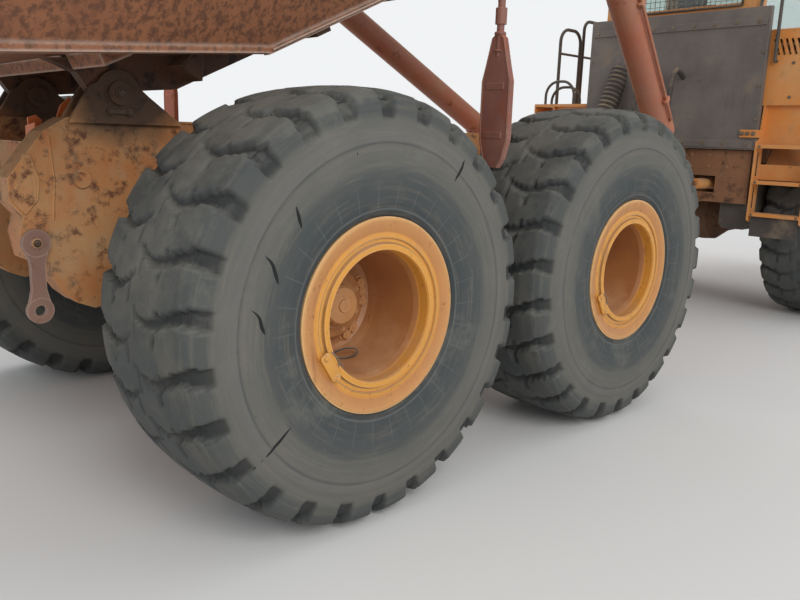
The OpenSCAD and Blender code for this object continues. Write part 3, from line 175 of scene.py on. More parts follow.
class Graph:
    """A material's node tree, with short ways to the nodes that finishes are made of."""

    def __init__(self, tree: bpy.types.NodeTree) -> None:
        """Starts from the surface's Object coordinates.

        Args:
            tree: the material's node tree.
        """
        self.tree = tree
        self.where = add_node(tree, "ShaderNodeTexCoord").outputs["Object"]

    def maths(self, operation: str, *values: Socket | float) -> Socket:
        """Adds a Math node on its values, in order."""
        return add_node(self.tree, "ShaderNodeMath", {"operation": operation},
                        dict(enumerate(values))).outputs["Value"]

    def vector(self, operation: str, *values: Socket | tuple, out: str = "Vector") -> Socket:
        """Adds a Vector Math node on its values, in order, and gives the output asked for."""
        return add_node(self.tree, "ShaderNodeVectorMath", {"operation": operation},
                        dict(enumerate(values))).outputs[out]

    def noise(self, scale: float, detail: float, roughness: float = 0.5,
              where: Socket | None = None) -> Socket:
        """Adds a noise texture.

        Args:
            scale: spots per metre.
            detail: octaves of finer noise.
            roughness: how much the octaves count.
            where: the coordinates, or nothing for Object coordinates.

        Returns:
            The noise's factor.
        """
        return add_node(self.tree, "ShaderNodeTexNoise", inputs={
            "Vector": where or self.where, "Scale": scale, "Detail": detail,
            "Roughness": roughness}).outputs["Fac"]

    def ramp(self, factor: Socket, stops: list[tuple[float, float | str]]) -> Socket:
        """Maps a factor to greys or colours through a colour ramp.

        Args:
            factor: the socket that drives the ramp.
            stops: pairs of position and grey value or hex colour, in rising order.

        Returns:
            The ramp's colour socket.
        """
        node = add_node(self.tree, "ShaderNodeValToRGB", inputs={"Fac": factor})
        elements = node.color_ramp.elements
        while len(elements) < len(stops):
            elements.new(1.0)
        for element, (position, tone) in zip(elements, stops):
            element.position = position
            element.color = linear(tone) if isinstance(tone, str) else (tone, tone, tone, 1.0)
        return node.outputs["Color"]

    def mix(self, share: Socket | float, under: Socket | str, over: Socket | str) -> Socket:
        """Mixes two colours, each a socket or a hex colour.

        Args:
            share: how much of the upper colour shows.
            under: the lower colour.
            over: the upper colour.

        Returns:
            The mixed colour.
        """
        tones = {key: linear(tone) if isinstance(tone, str) else tone
                 for key, tone in ((6, under), (7, over))}
        return add_node(self.tree, "ShaderNodeMix", {"data_type": "RGBA"},
                        {"Factor": share, **tones}).outputs[2]

    def split(self, vector: Socket) -> bpy.types.bpy_prop_collection:
        """Splits a vector into its X, Y and Z sockets."""
        return add_node(self.tree, "ShaderNodeSeparateXYZ", inputs={"Vector": vector}).outputs

    def normal(self) -> Socket:
        """Gives the surface's own normal."""
        return add_node(self.tree, "ShaderNodeNewGeometry").outputs["Normal"]

    def off_line(self, x: float, z: float, stretch: float = 1.0) -> tuple[Socket, Socket]:
        """Finds how a point lies off a line along Y.

        Args:
            x: the line's X in metres.
            z: the line's Z in metres.
            stretch: a factor on the distance along X.

        Returns:
            The distance, and the way there with Y at zero.
        """
        moved = self.vector("SUBTRACT", self.where, (x, 0.0, z))
        flat = self.vector("MULTIPLY", moved, (stretch, 0.0, 1.0))
        return self.vector("LENGTH", flat, out="Value"), flat


@dataclass(frozen=True)
class Finish:
    """What one real surface is made of, with the look that this gives the eye."""

    name: str
    colour: str
    roughness: float = 0.5
    metallic: float = 0.0
    faded: str = ""
    dust: str = "#A58F72"
    dust_amount: float = 0.25
    rust: str = "#6B3A1E"
    rust_amount: float = 0.0
    grain_mm: float = 6.0
    bump: float = 0.25
    mottle_mm: float = 350.0
    bare: str = "#B9906A"
    bare_amount: float = 0.0
    bare_mm: float = 9.0
    rust_mm: float = 110.0
    # The colour of old grease and painted shade round the bed's hinge
    grease: str = ""
    streak: str = "#5E3A22"
    streak_amount: float = 0.0

    def material(self) -> bpy.types.Material:
        """Builds the node material, once per finish.

        Returns:
            The material, new or found.
        """
        found = bpy.data.materials.get(self.name)
        if found:
            return found
        made = bpy.data.materials.new(self.name)
        made.use_nodes = True
        self.shade(made.node_tree)
        return made

    def shade(self, tree: bpy.types.NodeTree) -> None:
        """Lays the finish's layers from the paint outwards.

        Args:
            tree: the new material's nodes.
        """
        graph = Graph(tree)
        shader = tree.nodes["Principled BSDF"]
        shader.inputs["Metallic"].default_value = self.metallic
        colour = self.streaked(graph, self.base(graph))
        colour = self.scraped(graph, self.rusted(graph, colour))
        colour, dust = self.dusted(graph, colour)
        tree.links.new(self.greased(graph, colour), shader.inputs["Base Color"])
        # Dusty places are dull, clean ones as glossy as the finish is
        rough = add_node(tree, "ShaderNodeMapRange", inputs={
            "Value": dust, "To Min": self.roughness, "To Max": min(0.95, self.roughness + 0.3)})
        tree.links.new(rough.outputs["Result"], shader.inputs["Roughness"])
        # The fine grain of sprayed, cast or rusted metal
        bump = add_node(tree, "ShaderNodeBump", inputs={
            "Strength": self.bump, "Distance": 0.002, "Height": graph.noise(1000.0 / self.grain_mm, 3.0)})
        tree.links.new(bump.outputs["Normal"], shader.inputs["Normal"])

    def base(self, graph: Graph) -> Socket:
        """Mottles the colour towards its faded tone over a hand's breadth or more."""
        cloud = graph.noise(1000.0 / self.mottle_mm, 6.0, 0.62)
        return graph.mix(graph.ramp(cloud, [(0.32, 0.0), (0.7, 1.0)]), self.colour, self.faded or self.colour)

    def streaked(self, graph: Graph, colour: Socket) -> Socket:
        """Runs dirt down the sides in streaks some 20 mm wide and ten times as long.

        Args:
            graph: the material's graph.
            colour: the colour of the layers below.

        Returns:
            The colour with this layer on it.
        """
        if self.streak_amount <= 0:
            return colour
        long = add_node(graph.tree, "ShaderNodeMapping", {"vector_type": "POINT"},
                        {"Vector": graph.where, "Scale": (34.0, 34.0, 3.2)}).outputs["Vector"]
        line = graph.ramp(graph.noise(1.0, 5.0, 0.65, long), [(0.52, 0.0), (0.76, self.streak_amount)])
        mask = graph.ramp(graph.noise(2.6, 3.0), [(0.46, 0.0), (0.62, 1.0)])
        return graph.mix(graph.maths("MULTIPLY", line, mask), colour, self.streak)

    def rusted(self, graph: Graph, colour: Socket) -> Socket:
        """Breaks the paint with patches of rust, if the finish has any.

        Args:
            graph: the material's graph.
            colour: the colour of the layers below.

        Returns:
            The colour with this layer on it.
        """
        if self.rust_amount <= 0:
            return colour
        edge = 0.72 - 0.32 * self.rust_amount
        spots = graph.noise(1000.0 / self.rust_mm, 12.0, 0.72)
        return graph.mix(graph.ramp(spots, [(edge - 0.05, 0.0), (edge + 0.05, 1.0)]), colour, self.rust)

    def scraped(self, graph: Graph, colour: Socket) -> Socket:
        """Bares the edges in broken patches some 40 mm long.

        Args:
            graph: the material's graph.
            colour: the colour of the layers below.

        Returns:
            The colour with this layer on it.
        """
        if self.bare_amount <= 0:
            return colour
        gain = 3.2
        soft = add_node(graph.tree, "ShaderNodeBevel", {"samples": 4},
                        {"Radius": self.bare_mm / 1000}).outputs["Normal"]
        same = graph.vector("DOT_PRODUCT", soft, graph.normal(), out="Value")
        level = graph.maths("MULTIPLY_ADD", same, -gain, graph.noise(24.0, 5.0, 0.7))
        share = graph.ramp(graph.maths("ADD", level, gain), [(0.74, 0.0), (0.96, self.bare_amount)])
        return graph.mix(share, colour, self.bare)

    def dusted(self, graph: Graph, colour: Socket) -> tuple[Socket, Socket]:
        """Lays dust on top faces and in clouds.

        Args:
            graph: the material's graph.
            colour: the colour of the layers below.

        Returns:
            The dusted colour and the dust's share.
        """
        up = graph.split(graph.normal())["Z"]
        top = graph.maths("MULTIPLY_ADD", up, 0.28, graph.noise(4.5, 8.0, 0.7))
        level = 0.80 - 0.42 * self.dust_amount
        share = graph.ramp(top, [(level - 0.12, 0.0), (level + 0.22, 1.0)])
        return graph.mix(share, colour, self.dust), share

    def greased(self, graph: Graph, colour: Socket) -> Socket:
        """Darkens what stands within a hand or two of the bed's hinge with old grease and painted shade.

        Args:
            graph: the material's graph.
            colour: the colour of the layers below.

        Returns:
            The colour with this layer on it.
        """
        if not self.grease:
            return colour
        # Grease and painted shade, darkest at the hinge's pin
        pin = at(HINGE[0] + 40, 0.0, HINGE[1] + 30)
        away, _ = graph.off_line(pin.x, pin.z, 0.8)
        level = graph.maths("MULTIPLY_ADD", graph.noise(7.0, 6.0), -0.16, away)
        return graph.mix(graph.ramp(level, [(0.08, 0.88), (0.19, 0.0)]), colour, self.grease)


@dataclass(frozen=True)
class TyreRubber(Finish):
    """Carbon black rubber: dull, greyed by dust, scuffed round the sidewall and dark by the rim."""

    centre_x: float = 0.0
    line_count: int = 30
    # Tones from the bead outwards, by distance from the axle in metres
    zones: tuple[tuple[float, str], ...] = (
        (0.410, "#1E2022"), (0.436, "#24282A"), (0.440, "#6C7272"), (0.446, "#33393B"),
        (0.520, "#3F4546"), (0.585, "#4A4E4C"), (0.615, "#65645E"), (0.690, "#716D64"),
        (0.700, "#4E504D"), (0.708, "#74706A"), (0.790, "#6B6860"), (0.815, "#4E504C"), (0.86, "#474A48"))

    def base(self, graph: Graph) -> Socket:
        """Zones the sidewall by radius, draws the mould lines and paints shade into the grooves.

        Args:
            graph: the material's graph.

        Returns:
            The clean rubber's colour.
        """
        plain = super().base(graph)
        distance, flat = graph.off_line(self.centre_x, TYRE_R)
        heading = graph.vector("NORMALIZE", flat)
        colour = graph.mix(0.62, plain, graph.ramp(distance, self.zones))
        colour = self.mould_lines(graph, distance, heading, colour)
        colour = self.scuffs(graph, distance, heading, colour)
        # Painted shade: the grooves darkened by their depth
        depth = add_node(graph.tree, "ShaderNodeAttribute", {"attribute_name": "groove"}).outputs["Fac"]
        return graph.mix(depth, colour, "#1D1F20")

    def mould_lines(self, graph: Graph, distance: Socket, heading: Socket, colour: Socket) -> Socket:
        """Draws fine radial lines above the bead, 3 mm wide so that they show at this distance.

        Args:
            graph: the material's graph.
            distance: the distance from the axle.
            heading: the way from the axle, of length one.
            colour: the rubber's colour so far.

        Returns:
            The colour with these marks.
        """
        axes = graph.split(heading)
        turns = graph.maths("MULTIPLY", graph.maths("ARCTAN2", axes["Z"], axes["X"]),
                            self.line_count / math.tau)
        line = graph.ramp(graph.maths("PINGPONG", turns, 0.5), [(0.010, 1.0), (0.022, 0.0)])
        zone = graph.ramp(distance, [(0.44, 0.0), (0.45, 0.45), (0.53, 0.32), (0.56, 0.0)])
        return graph.mix(graph.maths("MULTIPLY", line, zone), colour, "#6E7676")

    def scuffs(self, graph: Graph, distance: Socket, heading: Socket, colour: Socket) -> Socket:
        """Rubs pale, dusty arcs round the sidewall, each some 15 mm wide.

        Args:
            graph: the material's graph.
            distance: the distance from the axle.
            heading: the way from the axle, of length one.
            colour: the rubber's colour so far.

        Returns:
            The colour with these marks.
        """
        wide = graph.vector("MULTIPLY", heading, (2.6, 2.6, 2.6))
        lift = add_node(graph.tree, "ShaderNodeCombineXYZ",
                        inputs={"Y": graph.maths("MULTIPLY", distance, 60.0)}).outputs["Vector"]
        polar = graph.vector("ADD", wide, lift)
        share = graph.ramp(graph.noise(1.0, 7.0, 0.7, polar), [(0.5, 0.0), (0.76, 0.42)])
        return graph.mix(share, colour, "#83796A")


@dataclass(frozen=True)
class RimEnamel(Finish):
    """Enamel on a rim: yellow lock rings, a tan flange outside them and a brown, shaded barrel."""

    centre_x: float = 0.0
    # Tones from the hub outwards, with dark joints between the rings
    rings: tuple[tuple[float, str], ...] = (
        (0.075, "#B9865A"), (0.098, "#A06C46"), (0.160, "#9C6844"), (0.215, "#A57250"),
        (0.262, "#935C38"), (0.2705, "#9C663C"), (0.2725, "#E09A3A"), (0.299, "#E2A03C"),
        (0.3015, "#5E3A1E"), (0.3045, "#5E3A1E"), (0.307, "#E6A742"), (0.320, "#DF9B3C"),
        (0.3225, "#5E3A1E"), (0.3255, "#6B4322"), (0.328, "#DE9C42"), (0.343, "#D9953F"),
        (0.350, "#B97C48"), (0.385, "#C48A55"), (0.401, "#CF975C"), (0.408, "#DDB27A"))

    def base(self, graph: Graph) -> Socket:
        """Colours the rim by its distance from the axle."""
        distance, _ = graph.off_line(self.centre_x, TYRE_R)
        return graph.mix(0.8, super().base(graph), graph.ramp(distance, self.rings))


@dataclass(frozen=True)
class ClearGlass(Finish):
    """Toughened glass: clear, hard gloss and a faint green edge."""

    def shade(self, tree: bpy.types.NodeTree) -> None:
        """Makes a clear pane that lets the cab's inside show.

        Args:
            tree: the new material's nodes.
        """
        shader = tree.nodes["Principled BSDF"].inputs
        shader["Base Color"].default_value = linear(self.colour)
        shader["Roughness"].default_value = self.roughness
        shader["Transmission Weight"].default_value = 0.92
        shader["IOR"].default_value = 1.5


# Machine enamel sprayed over steel plate: warm orange, chalky where the sun has faded it
CAB_ENAMEL = Finish("sprayed_orange_enamel", "#DD8B40", 0.42, faded="#D89E66", rust_amount=0.14,
                    dust="#B59068", dust_amount=0.35, bare="#E8B27C", bare_amount=0.55,
                    streak="#A5683A", streak_amount=0.4)
# Two part enamel of the rims' own fittings: nuts, clamp and studs
NUT_ENAMEL = Finish("brushed_orange_nut_enamel", "#C98F5A", 0.45, faded="#B67F50", rust_amount=0.25,
                    rust="#7A4A2C", dust="#B98A63", dust_amount=0.3, bare="#D6AC7C", bare_amount=0.6)
CLAMP_ENAMEL = Finish("baked_yellow_clamp_enamel", "#E2A33E", 0.4, faded="#D39447", rust_amount=0.3,
                      bare="#F0C684", bare_amount=0.6)
RIM_ENAMELS = {axle: RimEnamel(
    f"baked_yellow_rim_enamel_{axle}", "#DE9C46", 0.42, faded="#BE8048", rust_amount=0.26, rust="#8C5530",
    rust_mm=25, dust="#BC8E66", dust_amount=0.22, streak="#8A5A34", streak_amount=0.65, bare="#E8C08A",
    bare_amount=0.7, mottle_mm=120, grain_mm=5, centre_x=REAR_AXLE_X + x) for axle, x in AXLE_X.items()}
# The frame's enamel under years of dried clay: tan, with the orange below, rust in runs, and grease with
# painted shade round the hinge
FRAME_ENAMEL = Finish("clay_stained_frame_enamel", "#B8733E", 0.62, faded="#BB9062", rust_amount=0.46,
                      rust="#6A4028", rust_mm=70, dust="#B39772", dust_amount=0.45, grain_mm=9,
                      bare="#D9A56C", bare_amount=0.7, streak="#7A5232", streak_amount=0.5, mottle_mm=260,
                      grease="#33261E")
# Brown dirt over the neck's plates, behind the axles
NECK_ENAMEL = Finish("brown_stained_neck_enamel", "#7E573F", 0.62, faded="#94694A", rust_amount=0.4,
                     rust="#4F3526", dust="#8F7557", dust_amount=0.35, bare="#B08A66", bare_amount=0.5,
                     streak="#523A2A", streak_amount=0.4)
# The same enamel, brightened as painted sunlight on the tail's brackets
SUNLIT_ENAMEL = Finish("bright_orange_bracket_enamel", "#E0702E", 0.5, faded="#D2824A", rust_amount=0.25,
                       bare="#EDB98A", bare_amount=0.7, dust_amount=0.1)
# Bed plate whose paint is worn through: brown rust with a little orange left
BED_PLATE = Finish("rusted_wear_plate", "#8B593F", 0.72, faded="#A66D48", rust_amount=0.62, rust="#6B4632",
                   rust_mm=34, dust="#A8876C", grain_mm=18, bump=0.8, bare="#CDB8A8", bare_amount=0.9,
                   bare_mm=22, streak="#5E3C28", streak_amount=0.5, mottle_mm=480)
# The hinge castings and channels under the bed: oily dirt over brown paint, darkened further as painted shade
# under the bed
SHADED_UNDER_BED = Finish("oily_brown_underframe", "#4E3527", 0.66, faded="#6B4630", rust_amount=0.5,
                   rust="#33231C", dust="#7C6048", dust_amount=0.3, grain_mm=12, bump=0.5,
                   bare="#8A6E58", bare_amount=0.5)
# The tow link: rose brown paint rubbed to steel on its edge
LINK_PAINT = Finish("rose_brown_link_paint", "#866558", 0.6, faded="#957462", rust_amount=0.3,
                    bare="#B8A08E", bare_amount=0.7, dust_amount=0.15)
# Red orange enamel: bright with painted sunlight on the far rock ejector; on the hoist barrels faded by sun
# and paled further as painted flare
SUNLIT_RED_ENAMEL = Finish("sprayed_red_orange_enamel", "#D9652F", 0.48, faded="#C4683F", rust_amount=0.25,
                    dust="#C08658", dust_amount=0.2, bare="#E9A878", bare_amount=0.6)
# Sun-faded, with its pale grey partly painted flare
FLARED_HOIST_ENAMEL = Finish("faded_red_hoist_enamel", "#B9684A", 0.5, faded="#B07C62", rust_amount=0.25,
                      dust="#C09070", bare="#DDA888", bare_amount=0.6, streak="#8E4F36", streak_amount=0.4)
# The near ejector: purple brown, partly rust scale and partly painted shade, with painted sunlight as the
# orange laid like dust on its top faces
WORN_SHADED_EJECTOR = Finish("purple_brown_ejector_paint", "#7E5048", 0.62, faded="#8E6254", rust_amount=0.5,
                      rust="#8A5240", dust="#E8762E", dust_amount=0.08, bare="#B98A72", bare_amount=0.5,
                      streak="#B4683E", streak_amount=0.5, mottle_mm=140)
# Black chassis paint, greyed by dust
BLACK_PAINT = Finish("black_chassis_paint", "#45403B", 0.6, faded="#5A534B", rust_amount=0.15,
                     dust="#8A765E", dust_amount=0.35, bare="#8E8578", bare_amount=0.5)
# The shield's grey paint
GREY_PAINT = Finish("grey_shield_paint", "#66605C", 0.58, faded="#7A726B", rust_amount=0.15,
                    dust="#94836E", dust_amount=0.35, bare="#A79C8E", bare_amount=0.5,
                    streak="#4C443C", streak_amount=0.4)
# Grey iron castings with baked dust
CAST_IRON = Finish("dusty_cast_iron", "#6A4A34", 0.72, faded="#7D5B40", rust_amount=0.4,
                   rust="#55301F", dust="#93765A", dust_amount=0.4, grain_mm=14, bump=0.6)
# Zinc plated bolts, dulled to a brown grey
ZINC_BOLT = Finish("dulled_zinc_bolt", "#8B7D6C", 0.45, 0.7, rust_amount=0.3, dust_amount=0.2)
# Bolts and keepers at the hinge, under oily dirt
OILED_BOLT = Finish("oily_bolt_steel", "#574638", 0.5, 0.3, rust_amount=0.4, rust="#3A2A20", dust_amount=0.2)
# Hard chrome on the cylinder rods: mirror bright with a thin haze
ROD_CHROME = Finish("hard_chromed_rod", "#C8C8C6", 0.14, 1.0, dust_amount=0.05, bump=0.03)
TYRE_RUBBERS = {axle: TyreRubber(
    f"worn_tyre_rubber_{axle}", "#434A4A", 0.8, faded="#5A5955", dust="#74736B", dust_amount=0.3,
    grain_mm=9, bump=0.6, mottle_mm=180, centre_x=REAR_AXLE_X + x) for axle, x in AXLE_X.items()}
# A gash in the rubber, black inside as fresh rubber and painted shade
CUT_RUBBER_SHADE = Finish("cut_black_rubber", "#17181A", 0.85, dust_amount=0.0)
# Moulded synthetic rubber of hoses and flaps, dusted tan
HOSE_RUBBER = Finish("moulded_black_rubber", "#3A3633", 0.68, faded="#57504A", dust="#948069",
                     dust_amount=0.4)
# Woven seat cloth: a 4 mm weave, drawn coarse enough to show
SEAT_CLOTH = Finish("woven_grey_seat_cloth", "#44474C", 0.9, faded="#55585C", dust_amount=0.1,
                    grain_mm=4, bump=0.7)
CAB_GLASS = ClearGlass("toughened_cab_glass", "#DDE9E6", 0.04)
LAMP_GLASS = ClearGlass("clear_lamp_lens", "#F2F2EC", 0.12)

# The CAD nodes by finish; the rest of them are in the cab's enamel
NODE_FINISH: dict[str, Finish] = {node: finish for finish, nodes in (
    (FRAME_ENAMEL, "rear_frame bogie_beams hitch"),
    (NECK_ENAMEL, "front_frame"),
    (LINK_PAINT, "tow_link"),
    (CAST_IRON, "tandem_axles front_axle engine_block rear_shafts"),
    (BED_PLATE, "dump_bed"),
    (SHADED_UNDER_BED, "bed_underframe"),
    (SUNLIT_RED_ENAMEL, "ejector_left"),
    (WORN_SHADED_EJECTOR, "ejector_right"),
    (FLARED_HOIST_ENAMEL, "hoist_barrel_left hoist_barrel_right"),
    (ROD_CHROME, "hoist_rod_left hoist_rod_right steer_rod_left steer_rod_right"),
    (BLACK_PAINT, "bonnet_grille deck_rails cab_seat side_tanks exhaust_stack"),
    (GREY_PAINT, "rear_shield"),
    (HOSE_RUBBER, "hoses duct"),
    (CAB_GLASS, "cab_glass door_glass"),
    (LAMP_GLASS, "head_lamps")) for node in nodes.split()}


def coat(piece: Piece, finish: Finish) -> None:
    """Gives a piece one finish all over."""
    piece.data.materials.clear()
    piece.data.materials.append(finish.material())


def poured(name: str, form: Form) -> bpy.types.Mesh:
    """Turns a bmesh into a mesh.

    Args:
        name: the mesh's name.
        form: the shape, freed here.

    Returns:
        The new mesh.
    """
    mesh = bpy.data.meshes.new(name)
    form.to_mesh(mesh)
    form.free()
    return mesh


def mounted(name: str, mesh: bpy.types.Mesh, finish: Finish, body: str) -> Piece:
    """Makes a mesh a piece that rides on a body.

    Args:
        name: the piece's name.
        mesh: the shape, in the row frame.
        finish: the finish it gets.
        body: the body that it rides on.

    Returns:
        The new object.
    """
    piece = bpy.data.objects.new(name, mesh)
    bpy.context.scene.collection.objects.link(piece)
    coat(piece, finish)
    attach(piece, body)
    LOG.info("%s rides on %s with %d faces", name, body, len(mesh.polygons))
    return piece


def finished_mesh(name: str, form: Form, finish: Finish, body: str, smooth: bool = True) -> Piece:
    """Turns a bmesh into a piece that rides on a body.

    Args:
        name: the piece's name.
        form: the shape, in the row frame, freed here.
        finish: the finish it gets.
        body: the body that it rides on.
        smooth: whether its faces are shaded smooth.

    Returns:
        The new object.
    """
    mesh = poured(name, form)
    if smooth:
        mesh.shade_smooth()
    else:
        mesh.shade_flat()
    return mounted(name, mesh, finish, body)


def facing(place: Vector, direction: Vector) -> Matrix:
    """Gives the transform whose Z axis looks along a direction from a place."""
    return Matrix.Translation(place) @ direction.to_track_quat("Z", "Y").to_matrix().to_4x4()


def bevel(form: Form, edges: list[bmesh.types.BMEdge], offset: float, segments: int) -> None:
    """Rounds edges by an even offset."""
    bmesh.ops.bevel(form, geom=edges, offset=offset, offset_type="OFFSET", affect="EDGES",
                    segments=segments, profile=0.5, material=-1)


def add_bar(form: Form, start: Vector, end: Vector, radius: float, segments: int = 8) -> None:
    """Adds a straight round bar between two places."""
    run = end - start
    bmesh.ops.create_cone(form, cap_ends=True, segments=segments, radius1=radius, radius2=radius,
                          depth=run.length, matrix=facing((start + end) / 2, run))


def add_bolt(form: Form, place: Vector, direction: Vector, width: float) -> None:
    """Adds a hexagon head on its washer, standing on a face.

    Args:
        form: the bmesh that gets the bolt.
        place: the middle of the washer's underside.
        direction: the way that the head points.
        width: the head's width over its corners.
    """
    way = direction.normalized()
    bmesh.ops.create_cone(form, cap_ends=True, segments=16, radius1=width * 0.72, radius2=width * 0.68,
                          depth=width * 0.14, matrix=facing(place + way * width * 0.06, way))
    head = bmesh.ops.create_cone(form, cap_ends=True, segments=6, radius1=width / 2, radius2=width / 2,
                                 depth=width * 0.36, matrix=facing(place + way * width * 0.30, way))
    top = [edge for edge in {e for v in head["verts"] for e in v.link_edges}
           if all((v.co - place).dot(way) > width * 0.4 for v in edge.verts)]
    bevel(form, top, width * 0.06, 1)


def add_bolts(form: Form, places: list[Vector], direction: Vector, width: float) -> None:
    """Adds a bolt of one size at each place."""
    for place in places:
        add_bolt(form, place, direction, width)


def add_plate(form: Form, outline: list[Vector], thickness: Vector, round_by: float = 0.002) -> None:
    """Extrudes a flat outline and softens its edges.

    Args:
        form: the bmesh that gets the plate.
        outline: the corners of one face.
        thickness: how far and where the plate is extruded.
        round_by: the width of the bevel on every edge.
    """
    sheet = bmesh.new()
    face = sheet.faces.new([sheet.verts.new(corner) for corner in outline])
    grown = bmesh.ops.extrude_face_region(sheet, geom=[face], use_keep_orig=True)["geom"]
    bmesh.ops.translate(sheet, vec=thickness, verts=[v for v in grown if isinstance(v, bmesh.types.BMVert)])
    bmesh.ops.recalc_face_normals(sheet, faces=sheet.faces)
    if round_by:
        bevel(sheet, list(sheet.edges), round_by, 2)
    mesh = poured("plate", sheet)
    form.from_mesh(mesh)
    bpy.data.meshes.remove(mesh)


def add_tubes(form: Form, paths: list[list[Vector]], radius: float,
              swell: list[list[float]] | None = None, sides: int = 2) -> None:
    """Sweeps round tubes along paths through a bevelled curve.

    Args:
        form: the bmesh that gets the tubes.
        paths: the points of each tube.
        radius: the tubes' radius.
        swell: a factor on the radius for each point, or nothing for even tubes.
        sides: the curve's bevel resolution.
    """
    curve = bpy.data.curves.new("sweep", "CURVE")
    curve.dimensions = "3D"
    curve.bevel_depth = radius
    curve.bevel_resolution = sides
    curve.use_fill_caps = True
    for index, path in enumerate(paths):
        spline = curve.splines.new("POLY")
        spline.points.add(len(path) - 1)
        for number, point in enumerate(path):
            spline.points[number].co = (*point, 1.0)
            spline.points[number].radius = swell[index][number] if swell else 1.0
    holder = bpy.data.objects.new("sweep", curve)
    mesh = bpy.data.meshes.new_from_object(holder)
    form.from_mesh(mesh)
    bpy.data.meshes.remove(mesh)
    bpy.data.objects.remove(holder)
    bpy.data.curves.remove(curve)


def smooth_path(points: list[Vector], steps: int = 8) -> list[Vector]:
    """Rounds a path through its points with a Catmull-Rom curve.

    Args:
        points: what the path passes through.
        steps: the number of points for each leg.

    Returns:
        The rounded path, both ends kept.
    """
    ends = [points[0] * 2 - points[1], *points, points[-1] * 2 - points[-2]]
    out: list[Vector] = []
    for a, b, c, d in zip(ends, ends[1:], ends[2:], ends[3:]):
        for k in range(steps):
            t = k / steps
            out.append(0.5 * (2 * b + (c - a) * t + (2 * a - 5 * b + 4 * c - d) * t * t
                              + (3 * b - a - 3 * c + d) * t ** 3))
    return out + [points[-1]]


def weld(points: list[Vector], pitch: float = 0.009) -> tuple[list[Vector], list[float]]:
    """Turns a line into the ripples of a hand laid weld bead.

    Args:
        points: the corners of the line.
        pitch: the distance between ripples.

    Returns:
        The bead's points and the factor on its radius at each.
    """
    path: list[Vector] = []
    for start, end in zip(points, points[1:]):
        count = max(2, round((end - start).length / pitch))
        path += [start.lerp(end, k / count) for k in range(count)]
    path.append(points[-1])
    chance = random.Random(len(path))
    return path, [(1.0 if k % 2 else 0.74) * chance.uniform(0.85, 1.1) for k in range(len(path))]


def add_welds(form: Form, lines: list[list[Vector]], radius: float) -> None:
    """Lays rippled weld beads along several lines."""
    beads = [weld(line) for line in lines]
    add_tubes(form, [bead[0] for bead in beads], radius, [bead[1] for bead in beads], sides=1)


def arc(centre: Vector, across: Vector, up: Vector, radius: float, start: float, end: float,
        steps: int = 24) -> list[Vector]:
    """Walks an arc, in degrees, in the plane of two unit directions."""
    angles = [math.radians(start + (end - start) * k / steps) for k in range(steps + 1)]
    return [centre + across * radius * math.cos(a) + up * radius * math.sin(a) for a in angles]


@dataclass
class Wheel:
    """One wheel's place and the names that go with it."""

    axle: str
    side: Side

    @property
    def label(self) -> str:
        """The wheel's part in the names of its pieces."""
        return f"{self.axle}_{self.side.word}"

    @property
    def body(self) -> str:
        """The body that turns with this wheel."""
        return f"wheel_{self.label}"

    @property
    def centre(self) -> Vector:
        """The wheel's middle in the row frame."""
        return Vector((REAR_AXLE_X + AXLE_X[self.axle], self.side.value * HALF_TRACK, TYRE_R))


